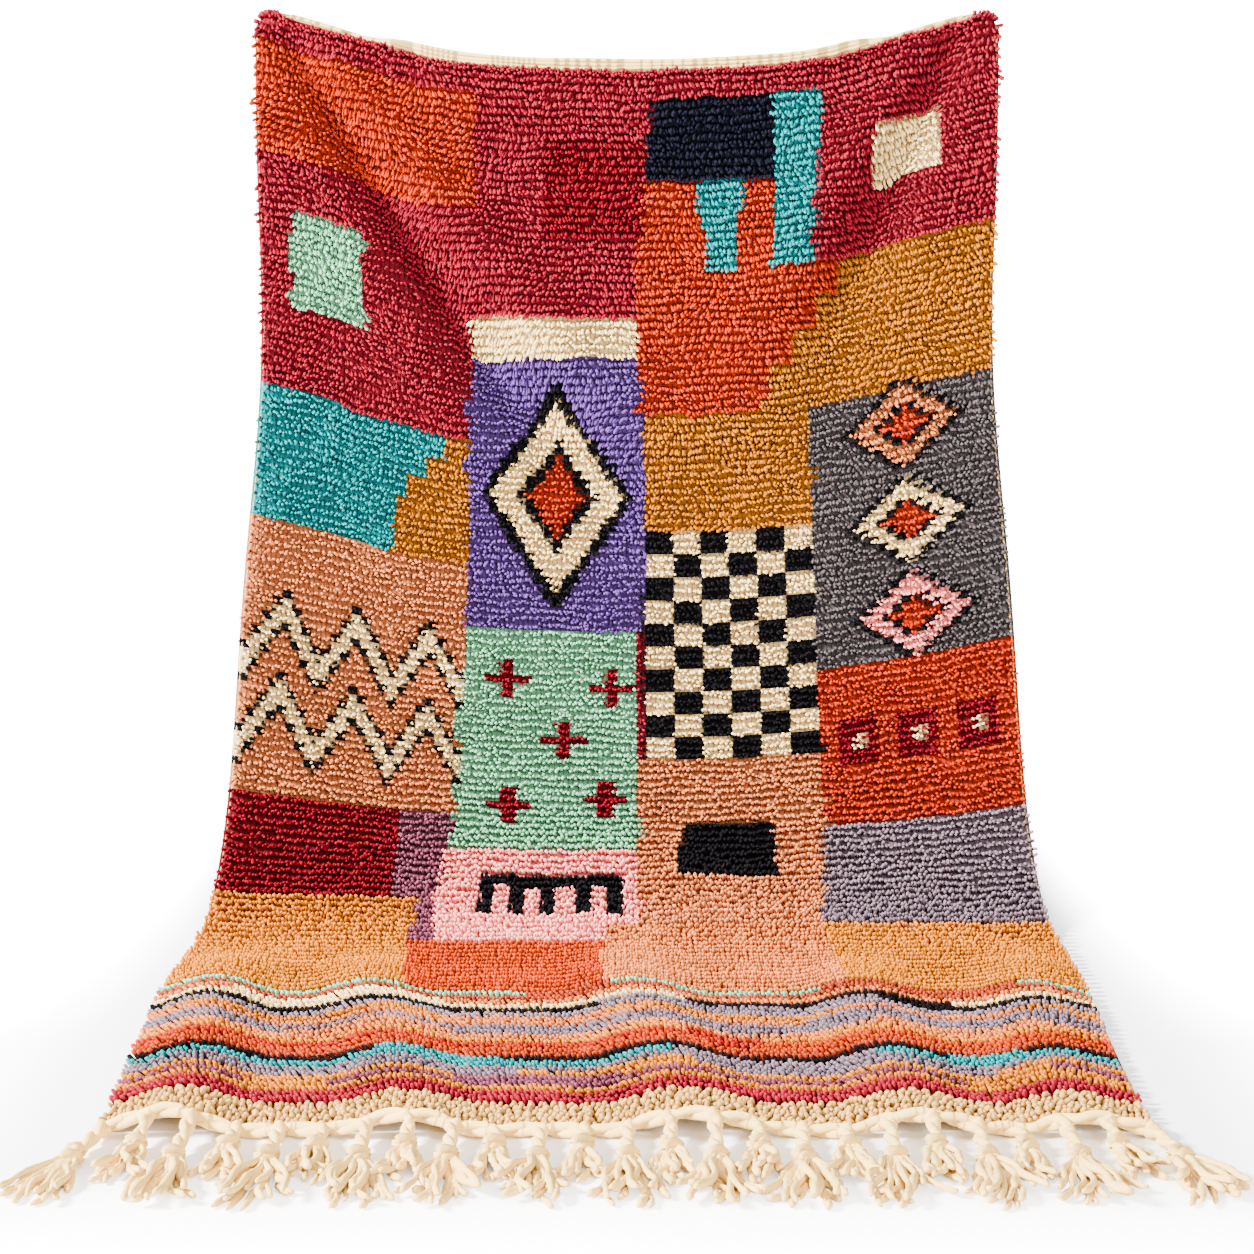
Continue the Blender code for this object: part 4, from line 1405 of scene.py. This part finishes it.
class RUG_OT_stage(RugStep, bpy.types.Operator):
    """Sets the floor, the lights and the camera"""

    bl_idname = "rug.stage"
    bl_label = "Stage"

    def execute(self, context):
        self.roll_out_paper(context.scene)
        self.light_world(context.scene)
        for lamp in LAMPS:
            self.hang_lamp(context.scene, *lamp)
        self.set_camera(context.scene)
        return {"FINISHED"}

    def roll_out_paper(self, scene):
        """The floor, which bends up behind the rug into a backdrop."""
        bm = bmesh.new()
        bmesh.ops.create_grid(bm, x_segments=1, y_segments=1, size=FLOOR_HALF_WIDTH)
        back = [e for e in bm.edges if all(v.co.y > FLOOR_HALF_WIDTH - 0.1 for v in e.verts)]
        bmesh.ops.translate(bm, verts=list(bm.verts), vec=(0, -FLOOR_FORWARD, FLOOR_Z))
        for step in range(1, SWEEP_STEPS + 1):
            angle = step * math.radians(90) / SWEEP_STEPS
            edge = bmesh.ops.extrude_edge_only(bm, edges=back)["geom"]
            back = [g for g in edge if isinstance(g, bmesh.types.BMEdge)]
            back = [e for e in back if len(e.link_faces) == 1]
            for vert in {v for e in back for v in e.verts}:
                vert.co.y = FLOOR_HALF_WIDTH - FLOOR_FORWARD + SWEEP_RADIUS * math.sin(angle)
                vert.co.z = FLOOR_Z + SWEEP_RADIUS * (1 - math.cos(angle))
        edge = bmesh.ops.extrude_edge_only(bm, edges=back)["geom"]
        for vert in [g for g in edge if isinstance(g, bmesh.types.BMVert)]:
            vert.co.z += BACKDROP_RISE
        mesh = bpy.data.meshes.new("studio_floor")
        bm.to_mesh(mesh)
        bm.free()
        mesh.polygons.foreach_set("use_smooth", np.ones(len(mesh.polygons), bool))
        paper, tree, shader = new_material("studio paper", specular=0.1)
        shader.inputs["Base Color"].default_value = PAPER_COLOUR
        shader.inputs["Roughness"].default_value = 0.9
        brighten_far_paper(tree, shader)
        mesh.materials.append(paper)
        floor = bpy.data.objects.new("studio_floor", mesh)
        scene.collection.objects.link(floor)

    def light_world(self, scene):
        """White to the camera, and a dim light on the rug."""
        world = bpy.data.worlds.new("studio light")
        world.use_nodes = True
        tree = world.node_tree
        background = tree.nodes["Background"]
        background.inputs["Color"].default_value = WORLD_COLOUR
        seen = tree.nodes.new("ShaderNodeLightPath").outputs["Is Camera Ray"]
        strength = math_node(tree, "MULTIPLY_ADD", seen, SEEN_WHITE - WORLD_LIGHT, WORLD_LIGHT)
        tree.links.new(strength, background.inputs["Strength"])
        scene.world = world

    def hang_lamp(self, scene, name, place, size, power, aim):
        data = bpy.data.lights.new(name, "AREA")
        data.size = size
        data.energy = power
        lamp = bpy.data.objects.new(name, data)
        lamp.location = place
        lamp.rotation_euler = (Vector(aim) - Vector(place)).to_track_quat("-Z", "Y").to_euler()
        scene.collection.objects.link(lamp)

    def set_camera(self, scene):
        data = bpy.data.cameras.new("camera")
        data.sensor_width = CAMERA_SENSOR
        data.lens = CAMERA_LENS
        camera = bpy.data.objects.new("camera", data)
        camera.location = CAMERA_PLACE
        camera.rotation_euler = (math.radians(CAMERA_PITCH_DEG), 0.0, 0.0)
        scene.collection.objects.link(camera)
        scene.camera = camera


class RUG_PT_panel(bpy.types.Panel):
    """The rug's steps and sizes"""

    bl_idname = "RUG_PT_panel"
    bl_label = "Pile rug"
    bl_space_type = "VIEW_3D"
    bl_region_type = "UI"
    bl_category = "Rug"

    def draw(self, context):
        column = self.layout.column()
        for step in STEP_OPERATORS:
            column.operator(step.bl_idname)
        for name in RugSizes.__annotations__:
            column.prop(context.scene.rug_sizes, name)
        for name in DYES:
            column.prop(context.scene.rug_dyes, name)


STEP_OPERATORS = (RUG_OT_ground, RUG_OT_pile, RUG_OT_loops, RUG_OT_edges, RUG_OT_heading, RUG_OT_tassels,
                  RUG_OT_declare, RUG_OT_stage)
CLASSES = (RugSizes, RugDyes, *STEP_OPERATORS, RUG_PT_panel)


def register():
    for cls in CLASSES:
        bpy.utils.register_class(cls)
    bpy.types.Scene.rug_sizes = PointerProperty(type=RugSizes)
    bpy.types.Scene.rug_dyes = PointerProperty(type=RugDyes)


def unregister():
    del bpy.types.Scene.rug_sizes
    del bpy.types.Scene.rug_dyes
    for cls in reversed(CLASSES):
        bpy.utils.unregister_class(cls)


def main():
    register()
    for step in STEP_OPERATORS:
        group, name = step.bl_idname.split(".")
        getattr(getattr(bpy.ops, group), name)()


if __name__ == "__main__":
    main()
